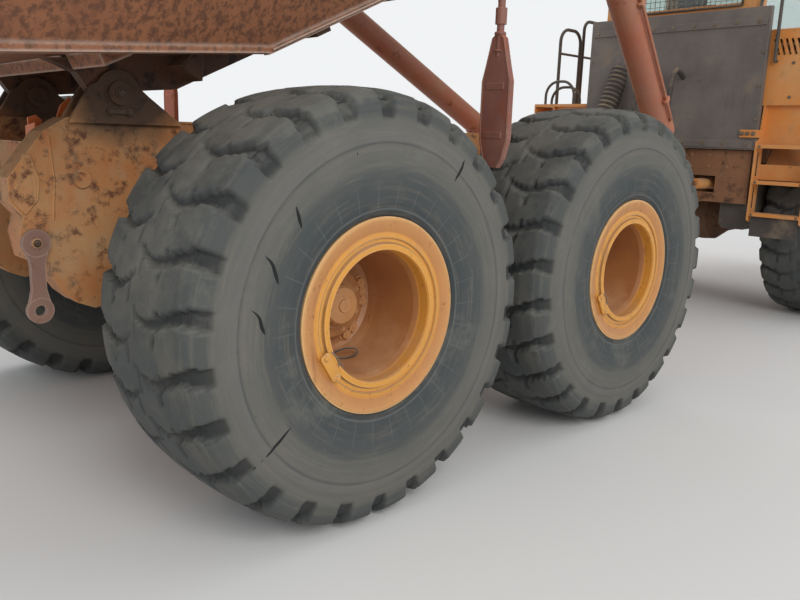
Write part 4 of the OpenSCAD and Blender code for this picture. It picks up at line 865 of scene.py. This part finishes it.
@dataclass
class Tyre(Wheel):
    """One worn earthmover tyre with staggered shoulder blocks."""

    spin_steps: int = 312
    profile_steps: int = 56
    lug_count: int = 26
    lug_depth: float = 0.034
    # Half profile from the bead to the crown: radius and half width
    corners: Outline = (
        (0.326, 0.222), (0.330, 0.268), (0.345, 0.292), (0.405, 0.325), (0.418, 0.3415),
        (0.452, 0.3475), (0.458, 0.3520), (0.560, 0.3655), (0.660, 0.3670), (0.690, 0.3645),
        (0.696, 0.3672), (0.745, 0.3640), (0.752, 0.3590), (0.800, 0.3560), (0.845, 0.3500),
        (0.874, 0.3340), (0.895, 0.3020), (0.908, 0.2400), (0.917, 0.1300), (0.920, 0.0000))

    def profile(self) -> list[tuple[float, float]]:
        """Spaces points evenly along the half profile and mirrors them to the other side.

        Returns:
            Pairs of radius and distance across.
        """
        corners = np.array(self.corners)
        run = np.concatenate([[0], np.cumsum(np.hypot(*np.diff(corners, axis=0).T))])
        places = np.linspace(0, run[-1], self.profile_steps)
        half = np.stack([np.interp(places, run, corners[:, k]) for k in (0, 1)], axis=1)
        return [tuple(p) for p in half] + [(r, -y) for r, y in half[-2::-1]]

    def groove_depth(self, angle: np.ndarray, across: np.ndarray, radius: np.ndarray) -> np.ndarray:
        """Works out how deep the tread is cut at each point.

        Args:
            angle: angle round the axle, in radians.
            across: distance from the middle of the tread, in metres.
            radius: distance from the axle before cutting.

        Returns:
            Depths from 0 to 1.
        """
        pitch = math.tau / self.lug_count
        v = np.abs(across) / TYRE_HALF
        along = angle + np.where(across >= 0, 0.0, pitch / 2)
        # Bent grooves between the blocks, wider and deeper towards the shoulder
        centre = (along - 0.045 * np.sin(v * 5.2) - 0.05 * v) / pitch
        away = np.abs(centre - np.round(centre)) * pitch * TYRE_R
        chip = 0.006 * np.sin(along * 61 + v * 23) * np.sin(along * 37 - v * 41)
        width = chip + np.interp(v, [0.05, 0.25, 0.55, 0.8, 0.9, 1.0],
                                 [0.004, 0.012, 0.018, 0.024, 0.034, 0.038])
        block = 1 - np.clip((away - width) / 0.008, 0, 1)
        block = block * block * (3 - 2 * block) * np.interp(v, [0.0, 0.2, 0.6, 1.0], [0.3, 0.55, 0.95, 1.0])
        # A zigzag in the middle of the tread and short grooves along the blocks
        zigzag = np.abs(across - 0.03 * np.sign(np.sin(angle * self.lug_count)))
        middle = np.clip(1 - (zigzag - 0.004) / 0.009, 0, 1) * 0.4
        phase = (along / pitch) % 1.0
        step = 0.155 + 0.05 * np.abs(phase - 0.5) + chip
        rim = np.clip(1 - (np.abs(np.abs(across) - step) - 0.006) / 0.008, 0, 1) * (phase < 0.62) * 0.6
        shoulder = np.clip((radius - 0.775) / 0.05, 0, 1)
        shoulder = shoulder * shoulder * (3 - 2 * shoulder)
        return np.maximum(np.maximum(block, middle), rim) * shoulder

    def carcass(self) -> bpy.types.Mesh:
        """Spins the profile into a plain carcass, once for each fineness.

        Returns:
            The carcass, centred on the origin.
        """
        name = f"tyre_carcass_{self.spin_steps}_{self.profile_steps}"
        found = bpy.data.meshes.get(name)
        if found:
            return found
        form = bmesh.new()
        ring = [form.verts.new((r, y, 0.0)) for r, y in self.profile()]
        edges = [form.edges.new(pair) for pair in zip(ring, ring[1:])]
        bmesh.ops.spin(form, geom=ring + edges, cent=(0, 0, 0), axis=(0, 1, 0), angle=math.tau,
                       steps=self.spin_steps, use_merge=True, use_duplicate=False)
        bmesh.ops.recalc_face_normals(form, faces=form.faces)
        mesh = poured(name, form)
        mesh.shade_smooth()
        return mesh

    def build(self) -> None:
        """Presses the tread pattern into a carcass at the tyre's place."""
        name = f"tyre_{self.label}"
        mesh = self.carcass().copy()
        self.press_tread(mesh, 7 + 3 * len(name))
        piece = mounted(f"{name}_worn", mesh, TYRE_RUBBERS[self.axle], self.body)
        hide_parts(name)

    def press_tread(self, mesh: bpy.types.Mesh, seed: int) -> None:
        """Moves the vertices in by the groove depth and stores that depth for the finish's painted groove
        shade.

        Args:
            mesh: the carcass, at the origin, moved to the tyre's place.
            seed: what the tyre's own wear is drawn from.
        """
        flat = np.empty(len(mesh.vertices) * 3, np.float64)
        mesh.vertices.foreach_get("co", flat)
        co = flat.reshape(-1, 3)
        radius = np.hypot(co[:, 0], co[:, 2])
        angle = np.arctan2(co[:, 2], co[:, 0])
        depth = self.groove_depth(angle, co[:, 1], radius)
        wear = np.random.default_rng(seed).normal(0, 1, 64)
        waves = sum(wear[k] * np.sin(angle * (k + 2) + wear[k + 20] * 3 + co[:, 1] * wear[k + 40] * 12)
                    for k in range(18)) / 18
        cut = depth * self.lug_depth + np.where(radius > 0.8, 0.002, 0.0006) * (waves - 0.4).clip(-1, 0.4)
        outward = np.clip((radius - 0.6) / 0.32, 0, 1)
        tilt = np.where(np.abs(co[:, 1]) > 0.3, 0.55, 0.1) * np.sign(co[:, 1])
        new_radius = radius - cut * outward
        co[:, 0] *= new_radius / radius
        co[:, 2] *= new_radius / radius
        co[:, 1] -= cut * tilt * outward
        co += np.array(self.centre)
        mesh.vertices.foreach_set("co", co.ravel())
        groove = mesh.attributes.new("groove", "FLOAT", "POINT")
        groove.data.foreach_set("value", (depth * 0.75).astype(np.float32))
        mesh.update()


@dataclass
class WheelFittings(Wheel):
    """What is bolted or clipped to one wheel: hub nuts, cap bolts, the ring's clamp and the valve hose."""

    nut_circle: float = 0.189
    nut_width: float = 0.050
    nut_face: float = -0.020
    stud_length: float = 0.028
    stud_r: float = 0.0085
    cap_circle: float = 0.134
    cap_face: float = 0.0255
    cap_bolt_width: float = 0.018
    clamp_angle: float = 212.0
    clamp_circle: float = 0.318
    # The valve hose's points: radius, degrees and distance outwards
    hose: tuple[tuple[float, float, float], ...] = (
        (0.228, 262, 0.03), (0.214, 268, 0.05), (0.204, 279, 0.07), (0.214, 289, 0.10),
        (0.230, 285, 0.11), (0.238, 275, 0.09), (0.240, 266, 0.065))
    gash_r: float = 0.0092
    gash_sunk: float = 0.0048
    # The near rear tyre's gashes: X and Z from the axle, and how wide the cut is
    gashes: tuple[tuple[tuple[float, float, float], ...], ...] = (
        ((-0.463, 0.494, 0.2), (-0.440, 0.430, 1.0), (-0.423, 0.372, 0.3)),
        ((-0.622, 0.331, 0.2), (-0.561, 0.280, 0.8), (-0.540, 0.230, 1.0), (-0.523, 0.179, 0.3)),
        ((-0.709, 0.163, 0.2), (-0.620, 0.098, 0.7), (-0.600, 0.050, 1.0), (-0.583, 0.012, 0.4)),
        ((-0.435, -0.325, 0.2), (-0.530, -0.400, 0.9), (-0.630, -0.482, 0.3)),
        ((-0.495, -0.191, 0.1), (-0.640, -0.285, 0.4), (-0.795, -0.374, 0.1)),
        ((0.458, 0.657, 0.2), (0.410, 0.590, 1.0), (0.351, 0.514, 0.2)),
        ((-0.180, 0.687, 0.2), (-0.172, 0.655, 0.6), (-0.165, 0.630, 0.2)))

    @property
    def outward(self) -> Vector:
        """The way that the wheel's face looks."""
        return NORTH * self.side.value

    def on_face(self, radius: float, degrees: float, out: float) -> Vector:
        """Finds a place on the wheel by its radius, angle and distance outwards."""
        angle = math.radians(degrees)
        return (self.centre + EAST * radius * math.cos(angle) + UP * radius * math.sin(angle)
                + self.outward * out)

    def fit(self, name: str, form: Form, finish: Finish, slot: str, smooth: bool = True) -> None:
        """Finishes one of the wheel's pieces."""
        finished_mesh(f"{name}_{self.label}", form, finish, self.body, smooth)

    def nuts(self) -> None:
        """Sets the wheel nuts in groups of three and two, each on its stud, and the cap's bolts."""
        form = bmesh.new()
        for sector in range(6):
            for offset in ((-7, 7) if sector % 2 else (-13, 0, 13)):
                place = self.on_face(self.nut_circle, 8 + 60 * sector + offset, self.nut_face)
                add_bolt(form, place, self.outward, self.nut_width)
                add_bar(form, place, place + self.outward * self.stud_length, self.stud_r)
        add_bolts(form, [self.on_face(self.cap_circle, 22.5 + 45 * k, self.cap_face) for k in range(8)],
                  self.outward, self.cap_bolt_width)
        self.fit("hub_nuts", form, NUT_ENAMEL, "rim", smooth=False)

    def clamp(self) -> None:
        """Bolts the lock ring's clamp plate across its split and hangs the wire clip on it."""
        form = bmesh.new()
        angle = math.radians(self.clamp_angle)
        radial = EAST * math.cos(angle) + UP * math.sin(angle)
        along = EAST * -math.sin(angle) + UP * math.cos(angle)
        middle = self.on_face(self.clamp_circle, self.clamp_angle, 0.3375)
        corners = [(-0.068, -0.018), (-0.056, -0.026), (0.050, -0.026), (0.068, -0.012),
                   (0.068, 0.012), (0.050, 0.022), (-0.056, 0.022), (-0.068, 0.014)]
        thickness = self.outward * 0.012
        add_plate(form, [middle + along * a + radial * r for a, r in corners], thickness, 0.003)
        add_bolts(form, [middle + along * a + thickness for a in (-0.054, 0.054)], self.outward, 0.022)
        self.fit("ring_clamp", form, CLAMP_ENAMEL, "rim")
        clip = bmesh.new()
        root = middle + along * 0.03 - radial * 0.034
        add_tubes(clip, [arc(root, along, radial, 0.018, 20, 330),
                         smooth_path([root, root - along * 0.04 - radial * 0.012 + self.outward * 0.008,
                                      root - along * 0.085 - radial * 0.004])], 0.0035)
        self.fit("ring_clip", clip, ZINC_BOLT, "steel")

    def valve_hose(self) -> None:
        """Loops the tyre's thin valve hose at the foot of the barrel."""
        form = bmesh.new()
        add_tubes(form, [smooth_path([self.on_face(*place) for place in self.hose])], 0.0042)
        add_bar(form, self.on_face(0.224, 262, 0.016), self.on_face(0.228, 262, 0.034), 0.010, 10)
        self.fit("valve_hose", form, HOSE_RUBBER, "rubber")

    def cuts(self) -> None:
        """Marks the gashes that stones have cut in the sidewall with dark tubes: fresh rubber and painted
        shade.
        """
        profile = sorted(Tyre.corners)
        radii, halves = [p[0] for p in profile], [p[1] for p in profile]
        paths, swells = [], []
        for gash in self.gashes:
            rounded = smooth_path([Vector(p) for p in gash], 6)
            paths.append([self.centre + Vector((p.x, 0, p.y)) + self.outward
                          * (float(np.interp(math.hypot(p.x, p.y), radii, halves)) - self.gash_sunk)
                          for p in rounded])
            swells.append([max(0.12, p.z) for p in rounded])
        form = bmesh.new()
        add_tubes(form, paths, self.gash_r, swells)
        self.fit("sidewall_cuts", form, CUT_RUBBER_SHADE, "tyre")

    def build(self) -> None:
        """Fits everything that this wheel carries."""
        self.nuts()
        self.clamp()
        self.valve_hose()
        if self.axle == "rear" and self.side is Side.RIGHT:
            self.cuts()


@dataclass
class RearFrameTrim:
    """Brackets, weld beads, bolts and keeper plates on the rear frame's tail."""

    weld_y: float = 536.0
    keeper_y: float = 564.0
    boss: tuple[float, float] = (-750.0, 1420.0)
    # The rolling joint's cover: X, Z and the circle of its bolts
    cover: tuple[float, float, float] = (4600.0, 1280.0, 208.0)
    gusset: Outline = (
        (-1040, 1340), (-985, 1520), (-960, 1520), (-930, 1420), (-940, 1340), (-990, 1280), (-1040, 1340))

    def brackets(self) -> None:
        """Stands small brackets on the tail's cross member."""
        form = bmesh.new()
        add_plate(form, on_y(-215, ((-850, 1569), (-790, 1569), (-790, 1668), (-815, 1690), (-850, 1676))),
                  NORTH * 0.012)
        add_plate(form, on_x(-852, ((-300, 1569), (-180, 1569), (-180, 1640), (-300, 1655))), EAST * 0.012)
        for y in (-330, -205):
            add_plate(form, on_y(y, ((-728, 1300), (-728, 1660), (-700, 1735), (-655, 1778), (-612, 1700),
                                     (-560, 1640), (-560, 1590), (-700, 1400))), NORTH * 0.014, 0.003)
        add_plate(form, [at(x, y, 1640) for x, y in ((-728, -330), (-728, -191), (-566, -191), (-566, -330))],
                  UP * 0.012)
        # Painted sunlight: the brackets get a lit, brighter copy of the enamel
        finished_mesh("tail_brackets", form, SUNLIT_ENAMEL, "rear_unit", smooth=False)

    def beads(self) -> None:
        """Welds the gussets, bosses and top edges on both faces of the frame."""
        lines = []
        for side in Side:
            y = side.value * self.weld_y
            lines += [on_y(y, self.gusset),
                      arc(at(self.boss[0], y, self.boss[1]), EAST, UP, 0.037, 0, 360, 30),
                      on_y(y, [(x, 1672) for x in (-790, -300, 600, 1500)]),
                      on_y(y, [(-880, 1600), (-866, 1420), (-880, 1250)])]
        form = bmesh.new()
        add_welds(form, lines, 0.0065)
        finished_mesh("frame_weld_beads", form, FRAME_ENAMEL, "rear_unit")

    def fastenings(self) -> None:
        """Bolts the hinge pins' keepers, the link's pin and the rolling joint's cover."""
        form = bmesh.new()
        for side in Side:
            out = NORTH * side.value
            y = side.value * self.keeper_y
            add_plate(form, on_y(y, rectangle(-640, -520, 1700, 1722)), out * 0.012)
            add_bolts(form, [at(x, y, 1711) + out * 0.012 for x in (-622, -538)], out, 0.026)
            add_bolt(form, at(HINGE[0], side.value * (self.keeper_y + 20), HINGE[1]), out, 0.034)
        add_bolt(form, at(-965, -579, 1160), -NORTH, 0.024)
        x, z, circle = self.cover
        angles = [math.tau * k / 12 for k in range(12)]
        add_bolts(form, [at(x, circle * math.cos(a), z + circle * math.sin(a)) for a in angles], EAST, 0.022)
        finished_mesh("frame_bolts", form, OILED_BOLT, "rear_unit", smooth=False)

    def build(self) -> None:
        """Builds the rear frame's trim."""
        self.brackets()
        self.beads()
        self.fastenings()


@dataclass
class BedTrim:
    """Weld beads on the bed's underside and sides, drawn on the lowered bed."""

    rail_y: float = 905.0
    foot_y: float = 880.0
    flare: float = 0.6
    tail_slope: float = math.radians(19.5)

    def build(self) -> None:
        """Welds the floor's edge rail and the joints of the side plates."""
        lines = []
        for side in Side:
            sign = side.value
            lines.append([raised(x, sign * self.rail_y, 1745) for x in (30, 900, 1800)])
            for x in (700, 1900):
                lines.append([raised(x, sign * self.rail_y, 1790)] + [
                    raised(x, sign * (self.foot_y + self.flare * rise), 1750 + rise) for rise in (700, 1180)])
            lines.append([raised(20 - run, sign * 850, 1746 + run * math.tan(self.tail_slope))
                          for run in (0, 880)])
        form = bmesh.new()
        add_welds(form, lines, 0.007)
        finished_mesh("bed_weld_beads", form, BED_PLATE, "bed")


@dataclass
class HoistLines:
    """The oil pipe on one hoist barrel with its clamps."""

    side: Side
    offset: float = 0.116
    end_offset: float = 0.097
    pipe_r: float = 0.011
    start: float = 0.24
    end: float = 2.76
    clamps: tuple[float, ...] = (0.5, 1.5, 2.5)

    def build(self) -> None:
        """Runs the pipe along the outside of the barrel."""
        sign = self.side.value
        top = raised(HOIST_TOP_LOWERED[0], sign * HOIST_TOP_LOWERED[1], HOIST_TOP_LOWERED[2])
        base = at(HOIST_BASE[0], sign * HOIST_BASE[1], HOIST_BASE[2])
        run = (base - top).normalized()
        out = (NORTH * sign - run * run.dot(NORTH * sign)).normalized()
        away = run.cross(out)
        form = bmesh.new()
        bends = ((self.start, self.end_offset), (self.start + 0.03, self.offset),
                 (self.start + 0.12, self.offset), (self.end - 0.12, self.offset),
                 (self.end - 0.03, self.offset), (self.end, self.end_offset))
        add_tubes(form, [[top + run * far + out * lift for far, lift in bends]], self.pipe_r)
        for place in self.clamps:
            middle = top + run * place
            foot = middle + out * 0.098
            add_plate(form, [foot + run * a + away * b for a, b in rectangle(-0.02, 0.02, -0.03, 0.03)],
                      out * 0.034, 0.004)
            add_bolt(form, middle + out * 0.132 + away * 0.018, out, 0.014)
        finished_mesh(f"hoist_pipe_{self.side.word}", form, FLARED_HOIST_ENAMEL, f"hoist_barrel_{self.side.word}")


@dataclass
class EjectorTrim:
    """The wire keeper, the sleeve's clamps and the edge bead of one rock ejector."""

    side: Side
    # The blade's edge from the shoulder down: half width and height from the pin
    edge: Outline = ((0.0, -0.470), (0.034, -0.484), (0.062, -0.590), (0.084, -0.670), (0.084, -0.930),
                     (0.058, -1.020), (0.030, -1.058))

    def build(self) -> None:
        """Builds the trim on the hanging ejector."""
        node = f"ejector_{self.side.word}"
        x, y, z = EJECTOR_PIN_LOWERED
        pin = raised(x, self.side.value * y, z)
        form = bmesh.new()
        add_tubes(form, [[pin + Vector((0.006 * math.cos(k / 3), 0.020 * math.sin(k / 3), -0.30 - k * 0.0035))
                          for k in range(40)]], 0.0028, sides=1)
        for drop in (0.46, 0.535):
            add_tubes(form, [arc(pin - UP * drop, EAST, NORTH, 0.022, 0, 360, 20)], 0.0045, sides=1)
        for face in (-0.0145, 0.0145):
            for way in (-1, 1):
                add_welds(form, [[pin + Vector((face, way * across * 0.93, height + 0.004))
                                  for across, height in self.edge]], 0.003)
        finished_mesh(f"ejector_trim_{self.side.word}", form, NODE_FINISH[node], node)


@dataclass
class NeckPlates:
    """The folded plates beside the neck, cut out for the steering cylinders."""

    x: float = 5400.0
    thickness: float = 0.018
    inner_y: float = 242.0
    outer_y: float = 900.0
    top_z: float = 1610.0
    opening: tuple[float, float, float, float] = (315, 565, 1200, 1362)

    def build(self) -> None:
        """Folds both plates and bolts them to the neck."""
        form = bmesh.new()
        inner, outer, top = self.inner_y, self.outer_y, self.top_z
        y0, y1, z0, z1 = self.opening
        for side in Side:
            sign = side.value
            for part in (((inner, 1000), (310, 1010), (430, 1110), (outer, 1110), (outer, z0), (inner, z0)),
                         rectangle(inner, y0, z0, z1), rectangle(y1, outer, z0, z1),
                         rectangle(inner, outer, z1, top)):
                add_plate(form, on_x(self.x, part, sign), EAST * self.thickness, 0.0)
            add_plate(form, on_x(self.x, rectangle(outer - 12, outer, 1112, top - 2), sign), EAST * 0.045)
            add_bolts(form, [at(self.x, sign * y, z) for z in (1450, 1560) for y in (300, 480, 660, 840)],
                      -EAST, 0.026)
        finished_mesh("neck_plates", form, NECK_ENAMEL, "front_unit", smooth=False)


@dataclass
class ShieldTrim:
    """Bolts on the rear shield, its corner posts and the step brackets."""

    sheet_x: float = 5335.0
    sheet_z: tuple[float, float] = (1670, 2770)
    sheet_bolts: int = 9
    bolt_pitch: float = 210.0
    bracket_x: float = 5330.0
    post_x: float = 5350.0

    def build(self) -> None:
        """Fastens the shield and the brackets."""
        form = bmesh.new()
        first = -self.bolt_pitch * (self.sheet_bolts - 1) / 2
        add_bolts(form, [at(self.sheet_x, first + self.bolt_pitch * k, z)
                         for z in self.sheet_z for k in range(self.sheet_bolts)], -EAST, 0.026)
        for sign in (-1, 1):
            add_bolts(form, [at(self.bracket_x, sign * y, 1770) for y in (800, 850, 905)], -EAST, 0.03)
            add_bolts(form, [at(self.post_x, sign * 900, z) for z in (1900, 2200, 2500)], -EAST, 0.022)
        finished_mesh("shield_bolts", form, ZINC_BOLT, "front_unit", smooth=False)


@dataclass
class StepTrim:
    """Grip studs and bolts on the steps behind the front wheels."""

    step_x: tuple[float, float] = (5330, 5480)
    step_y: tuple[float, float] = (936, 1420)
    step_z: tuple[float, ...] = (1010, 1310, 1640)
    stud_rows: tuple[float, ...] = (17, 53, 89)
    stud_pitch: float = 25.0
    stud_count: int = 18

    def build(self) -> None:
        """Adds raised grip studs on the treads and the bolts in the stringers."""
        studs = bmesh.new()
        bolts = bmesh.new()
        for sign in (-1, 1):
            for z in self.step_z:
                for x in self.stud_rows:
                    for k in range(self.stud_count):
                        y = self.step_y[0] + 30 + self.stud_pitch * k
                        place = at(self.step_x[0] + x, sign * y, z + 31)
                        bmesh.ops.create_cone(studs, cap_ends=True, segments=6, radius1=0.005, radius2=0.003,
                                              depth=0.004, matrix=Matrix.Translation(place))
                add_bolts(bolts, [at(self.step_x[0], sign * y, z + 15)
                                  for y in (self.step_y[0] + 40, self.step_y[1] - 40)], -EAST, 0.018)
            add_bolts(bolts, [at(self.step_x[1] - 25, sign * self.step_y[1], z)
                              for z in (1030, 1330, 1665, 1900)], NORTH * sign, 0.022)
        finished_mesh("step_studs", studs, CAB_ENAMEL, "front_unit", smooth=False)
        finished_mesh("step_bolts", bolts, ZINC_BOLT, "front_unit", smooth=False)


@dataclass
class SideBoxTrim:
    """The cabinet's side door, its hinges, latch, bolts and louvre hoods."""

    side_y: float = -1640.0
    rear_x: float = 5420.0
    louvres: int = 5
    louvre_pitch: float = 50.0

    def build(self) -> None:
        """Dresses the cabinet on the right deck."""
        y, x = self.side_y, self.rear_x
        form = bmesh.new()
        add_plate(form, on_y(y, rectangle(5500, 6520, 2110, 2560)), -NORTH * 0.006, 0.003)
        for middle in (5640, 6380):
            add_bar(form, at(middle - 40, y - 8, 2112), at(middle + 40, y - 8, 2112), 0.010, 12)
        add_plate(form, on_y(y - 6, rectangle(5960, 6060, 2490, 2525)), -NORTH * 0.008, 0.003)
        for k in range(self.louvres):
            slot = -(1002 + self.louvre_pitch * k)
            add_plate(form, [at(x, slot + 2, 2476), at(x, slot - 50, 2612), at(x - 8, slot - 52, 2612),
                             at(x - 8, slot, 2476)], NORTH * 0.004, 0.001)
        finished_mesh("side_box_door", form, CAB_ENAMEL, "front_unit", smooth=False)
        bolts = bmesh.new()
        add_bolts(bolts, [at(x, side, z) for side in (-850, -1150, -1450, -1600) for z in (2100, 2400)],
                  -EAST, 0.022)
        add_bolts(bolts, [at(place, y, 2085) for place in (5450, 5900, 6350, 6570)], -NORTH, 0.022)
        finished_mesh("side_box_bolts", bolts, ZINC_BOLT, "front_unit", smooth=False)


@dataclass
class CabTrim:
    """The rear window's guard, the door's handle and the seat's cushions."""

    guard_x: float = 5386.0
    guard_y: float = 640.0
    guard_z: tuple[float, float] = (2935, 3525)
    wire_pitch: float = 52.0
    wire_r: float = 0.0026
    bar_r: float = 0.010
    stay_r: float = 0.008
    stay_inset: float = 30.0
    wall_x: float = 5400.0

    def guard(self) -> None:
        """Weaves the wire guard outside the rear window."""
        form = bmesh.new()
        x, y1 = self.guard_x, self.guard_y
        z0, z1 = self.guard_z
        corners = on_x(x, rectangle(-y1, y1, z0, z1))
        for a, b in zip(corners, corners[1:] + corners[:1]):
            add_bar(form, a, b, self.bar_r, 10)
        for k in range(1, round(2 * y1 / self.wire_pitch)):
            y = -y1 + k * self.wire_pitch
            add_bar(form, at(x + 2, y, z0), at(x + 2, y, z1), self.wire_r, 5)
        for k in range(1, round((z1 - z0) / self.wire_pitch)):
            z = z0 + k * self.wire_pitch
            add_bar(form, at(x - 2, -y1, z), at(x - 2, y1, z), self.wire_r, 5)
        for y in (self.stay_inset - y1, y1 - self.stay_inset):
            for z in (z0, z1):
                add_bar(form, at(x, y, z), at(self.wall_x, y, z), self.stay_r, 10)
        finished_mesh("window_guard", form, BLACK_PAINT, "front_unit")

    def handle(self) -> None:
        """Bends the door's handle."""
        form = bmesh.new()
        add_tubes(form, [smooth_path([at(6600, 790, 2480), at(6602, 822, 2482), at(6604, 834, 2440),
                                      at(6602, 822, 2398), at(6600, 790, 2400)])], 0.008)
        finished_mesh("door_handle", form, BLACK_PAINT, "cab_door")

    def cushion(self, name: str, middle: Vector, half: Vector, lean: float) -> None:
        """Crowns one cushion between its seams.

        Args:
            name: the piece's name.
            middle: the cushion's middle.
            half: its half sizes before it is leant.
            lean: how far it leans back, in degrees.
        """
        form = bmesh.new()
        bmesh.ops.create_cube(form, size=2.0)
        bmesh.ops.subdivide_edges(form, edges=list(form.edges), cuts=9, use_grid_fill=True)
        for vert in form.verts:
            x, y, z = vert.co
            faced = abs(z) > 0.99
            crown = (1 - x ** 4) * (1 - y ** 4) if faced else 1 - z * z
            seam = 0.35 * math.exp(-((abs(y) - 0.45) / 0.05) ** 2) if faced else 0.0
            pull = 1 - 0.05 * (x * x * y * y)
            vert.co = Vector((x * pull * half.x, y * pull * half.y,
                              z * half.z * (0.72 + 0.28 * max(0.0, crown - seam))))
            if not faced:
                vert.co += Vector((x, y, 0)) * 0.006 * (1 - z * z)
        bmesh.ops.smooth_vert(form, verts=list(form.verts), factor=0.4, use_axis_x=True, use_axis_y=True,
                              use_axis_z=True)
        turn = Matrix.Translation(middle) @ Matrix.Rotation(math.radians(-lean), 4, "Y")
        bmesh.ops.transform(form, matrix=turn, verts=list(form.verts))
        piece = finished_mesh(name, form, SEAT_CLOTH, "front_unit")
        soften = piece.modifiers.new("soften", "SUBSURF")
        soften.levels = soften.render_levels = 1

    def build(self) -> None:
        """Dresses the cab."""
        self.guard()
        self.handle()
        self.cushion("seat_cushion", at(6040, 0, 2385), Vector((0.235, 0.252, 0.045)), 2.0)
        self.cushion("back_cushion", at(5795, 0, 2715), Vector((0.045, 0.245, 0.285)), -10.0)
        self.cushion("head_cushion", at(5690, 0, 3085), Vector((0.042, 0.135, 0.088)), -6.0)


@dataclass
class Studio:
    """The pale floor, the soft light and the camera at the photograph's place."""

    camera_place: Vector = field(default_factory=lambda: Vector((-5.748, -3.904, 1.643)))
    yaw: float = math.radians(45.98)
    pitch: float = math.radians(-12.07)
    roll: float = math.radians(1.8)
    focal_px: float = 764.0
    frame_width_px: float = 800.0
    sensor_mm: float = 36.0

    def camera(self) -> None:
        """Places the camera as it was fitted to the photograph."""
        ahead = Vector((math.cos(self.pitch) * math.cos(self.yaw),
                        math.cos(self.pitch) * math.sin(self.yaw), math.sin(self.pitch)))
        right = ahead.cross(UP).normalized()
        up = right.cross(ahead)
        turned_right = right * math.cos(self.roll) + up * math.sin(self.roll)
        turned_up = -right * math.sin(self.roll) + up * math.cos(self.roll)
        lens = bpy.data.cameras.new("photo_camera")
        lens.sensor_width = self.sensor_mm
        lens.lens = self.focal_px / self.frame_width_px * self.sensor_mm
        lens.clip_end = 200.0
        camera = bpy.data.objects.new("photo_camera", lens)
        basis = Matrix((turned_right, turned_up, -ahead)).transposed().to_4x4()
        basis.translation = self.camera_place
        camera.matrix_world = basis
        bpy.context.scene.collection.objects.link(camera)
        bpy.context.scene.camera = camera

    def floor(self) -> None:
        """Lays the pale floor."""
        form = bmesh.new()
        bmesh.ops.create_grid(form, x_segments=1, y_segments=1, size=60.0)
        mesh = poured("studio_floor", form)
        floor = bpy.data.objects.new("studio_floor", mesh)
        bpy.context.scene.collection.objects.link(floor)
        made = bpy.data.materials.new("pale_floor")
        made.use_nodes = True
        shader = made.node_tree.nodes["Principled BSDF"]
        shader.inputs["Base Color"].default_value = linear("#ECEAE6")
        shader.inputs["Roughness"].default_value = 0.9
        mesh.materials.append(made)
        floor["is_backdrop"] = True

    def light(self) -> None:
        """Lights the truck softly, with a broad lamp on the photographed side."""
        world = bpy.data.worlds.new("soft_sky")
        world.use_nodes = True
        tree = world.node_tree
        ray = add_node(tree, "ShaderNodeLightPath").outputs
        seen = ray["Is Camera Ray"]
        for kind in ("Is Glossy Ray", "Is Transmission Ray"):
            seen = add_node(tree, "ShaderNodeMath", {"operation": "MAXIMUM"},
                            {0: seen, 1: ray[kind]}).outputs["Value"]
        lit = tree.nodes["Background"]
        lit.inputs["Color"].default_value = linear("#E9EDF2")
        lit.inputs["Strength"].default_value = 0.78
        pale = add_node(tree, "ShaderNodeBackground", inputs={"Color": linear("#F1F3F4"), "Strength": 1.0})
        both = add_node(tree, "ShaderNodeMixShader", inputs={
            "Fac": seen, 1: lit.outputs["Background"], 2: pale.outputs["Background"]})
        tree.links.new(both.outputs["Shader"], tree.nodes["World Output"].inputs["Surface"])
        bpy.context.scene.world = world
        for name, place, aim, power, size in (
                ("key_lamp", (-7.0, -11.0, 8.0), (-1.5, -1.0, 1.2), 600.0, 6.0),
                ("back_lamp", (6.0, 9.0, 9.0), (0.0, 0.0, 1.5), 380.0, 7.0)):
            lamp = bpy.data.lights.new(name, "AREA")
            lamp.energy = power
            lamp.size = size
            holder = bpy.data.objects.new(name, lamp)
            holder.location = place
            holder.rotation_euler = (Vector(aim) - Vector(place)).to_track_quat("-Z", "Y").to_euler()
            bpy.context.scene.collection.objects.link(holder)
        bpy.context.scene.view_settings.view_transform = "Standard"

    def build(self) -> None:
        """Sets up camera, floor and light."""
        self.camera()
        self.floor()
        self.light()


@dataclass
class Truck:
    """The whole dressed truck, built sub-assembly by sub-assembly, from the frame's nodes."""

    nodes: dict[str, Piece]

    def finishes(self) -> None:
        """Gives every CAD node its finish."""
        by_kind = {"wheel": RIM_ENAMELS, "tyre": TYRE_RUBBERS}
        for name, node in self.nodes.items():
            kind, _, rest = name.partition("_")
            if kind in by_kind:
                coat(node, by_kind[kind][rest.partition("_")[0]])
            else:
                coat(node, NODE_FINISH.get(name, CAB_ENAMEL))

    def wheels(self) -> None:
        """Builds the tyres and the wheels' fittings, finest where the camera is near."""
        for axle in AXLE_X:
            for side in Side:
                near = side is Side.RIGHT and axle != "front"
                Tyre(axle, side, *((480, 92) if near else ())).build()
                WheelFittings(axle, side).build()

    def build(self) -> None:
        """Builds everything in order."""
        self.finishes()
        self.wheels()
        for trim in (RearFrameTrim(), BedTrim(), NeckPlates(), ShieldTrim(), StepTrim(), SideBoxTrim(),
                     CabTrim()):
            trim.build()
        for side in Side:
            HoistLines(side).build()
            EjectorTrim(side).build()


def main() -> None:
    """Loads the frame, dresses the truck and logs the two boxes."""
    logging.basicConfig(level=logging.INFO, format="%(message)s")
    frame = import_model()
    cad_box = [list(corner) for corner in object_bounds()]
    Studio().build()
    Truck(frame["nodes"]).build()
    bpy.context.view_layer.update()
    seen_box = [list(corner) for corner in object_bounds()]
    for corners in (cad_box, seen_box):
        LOG.info("box %s", corners)


if __name__ == "__main__":
    main()
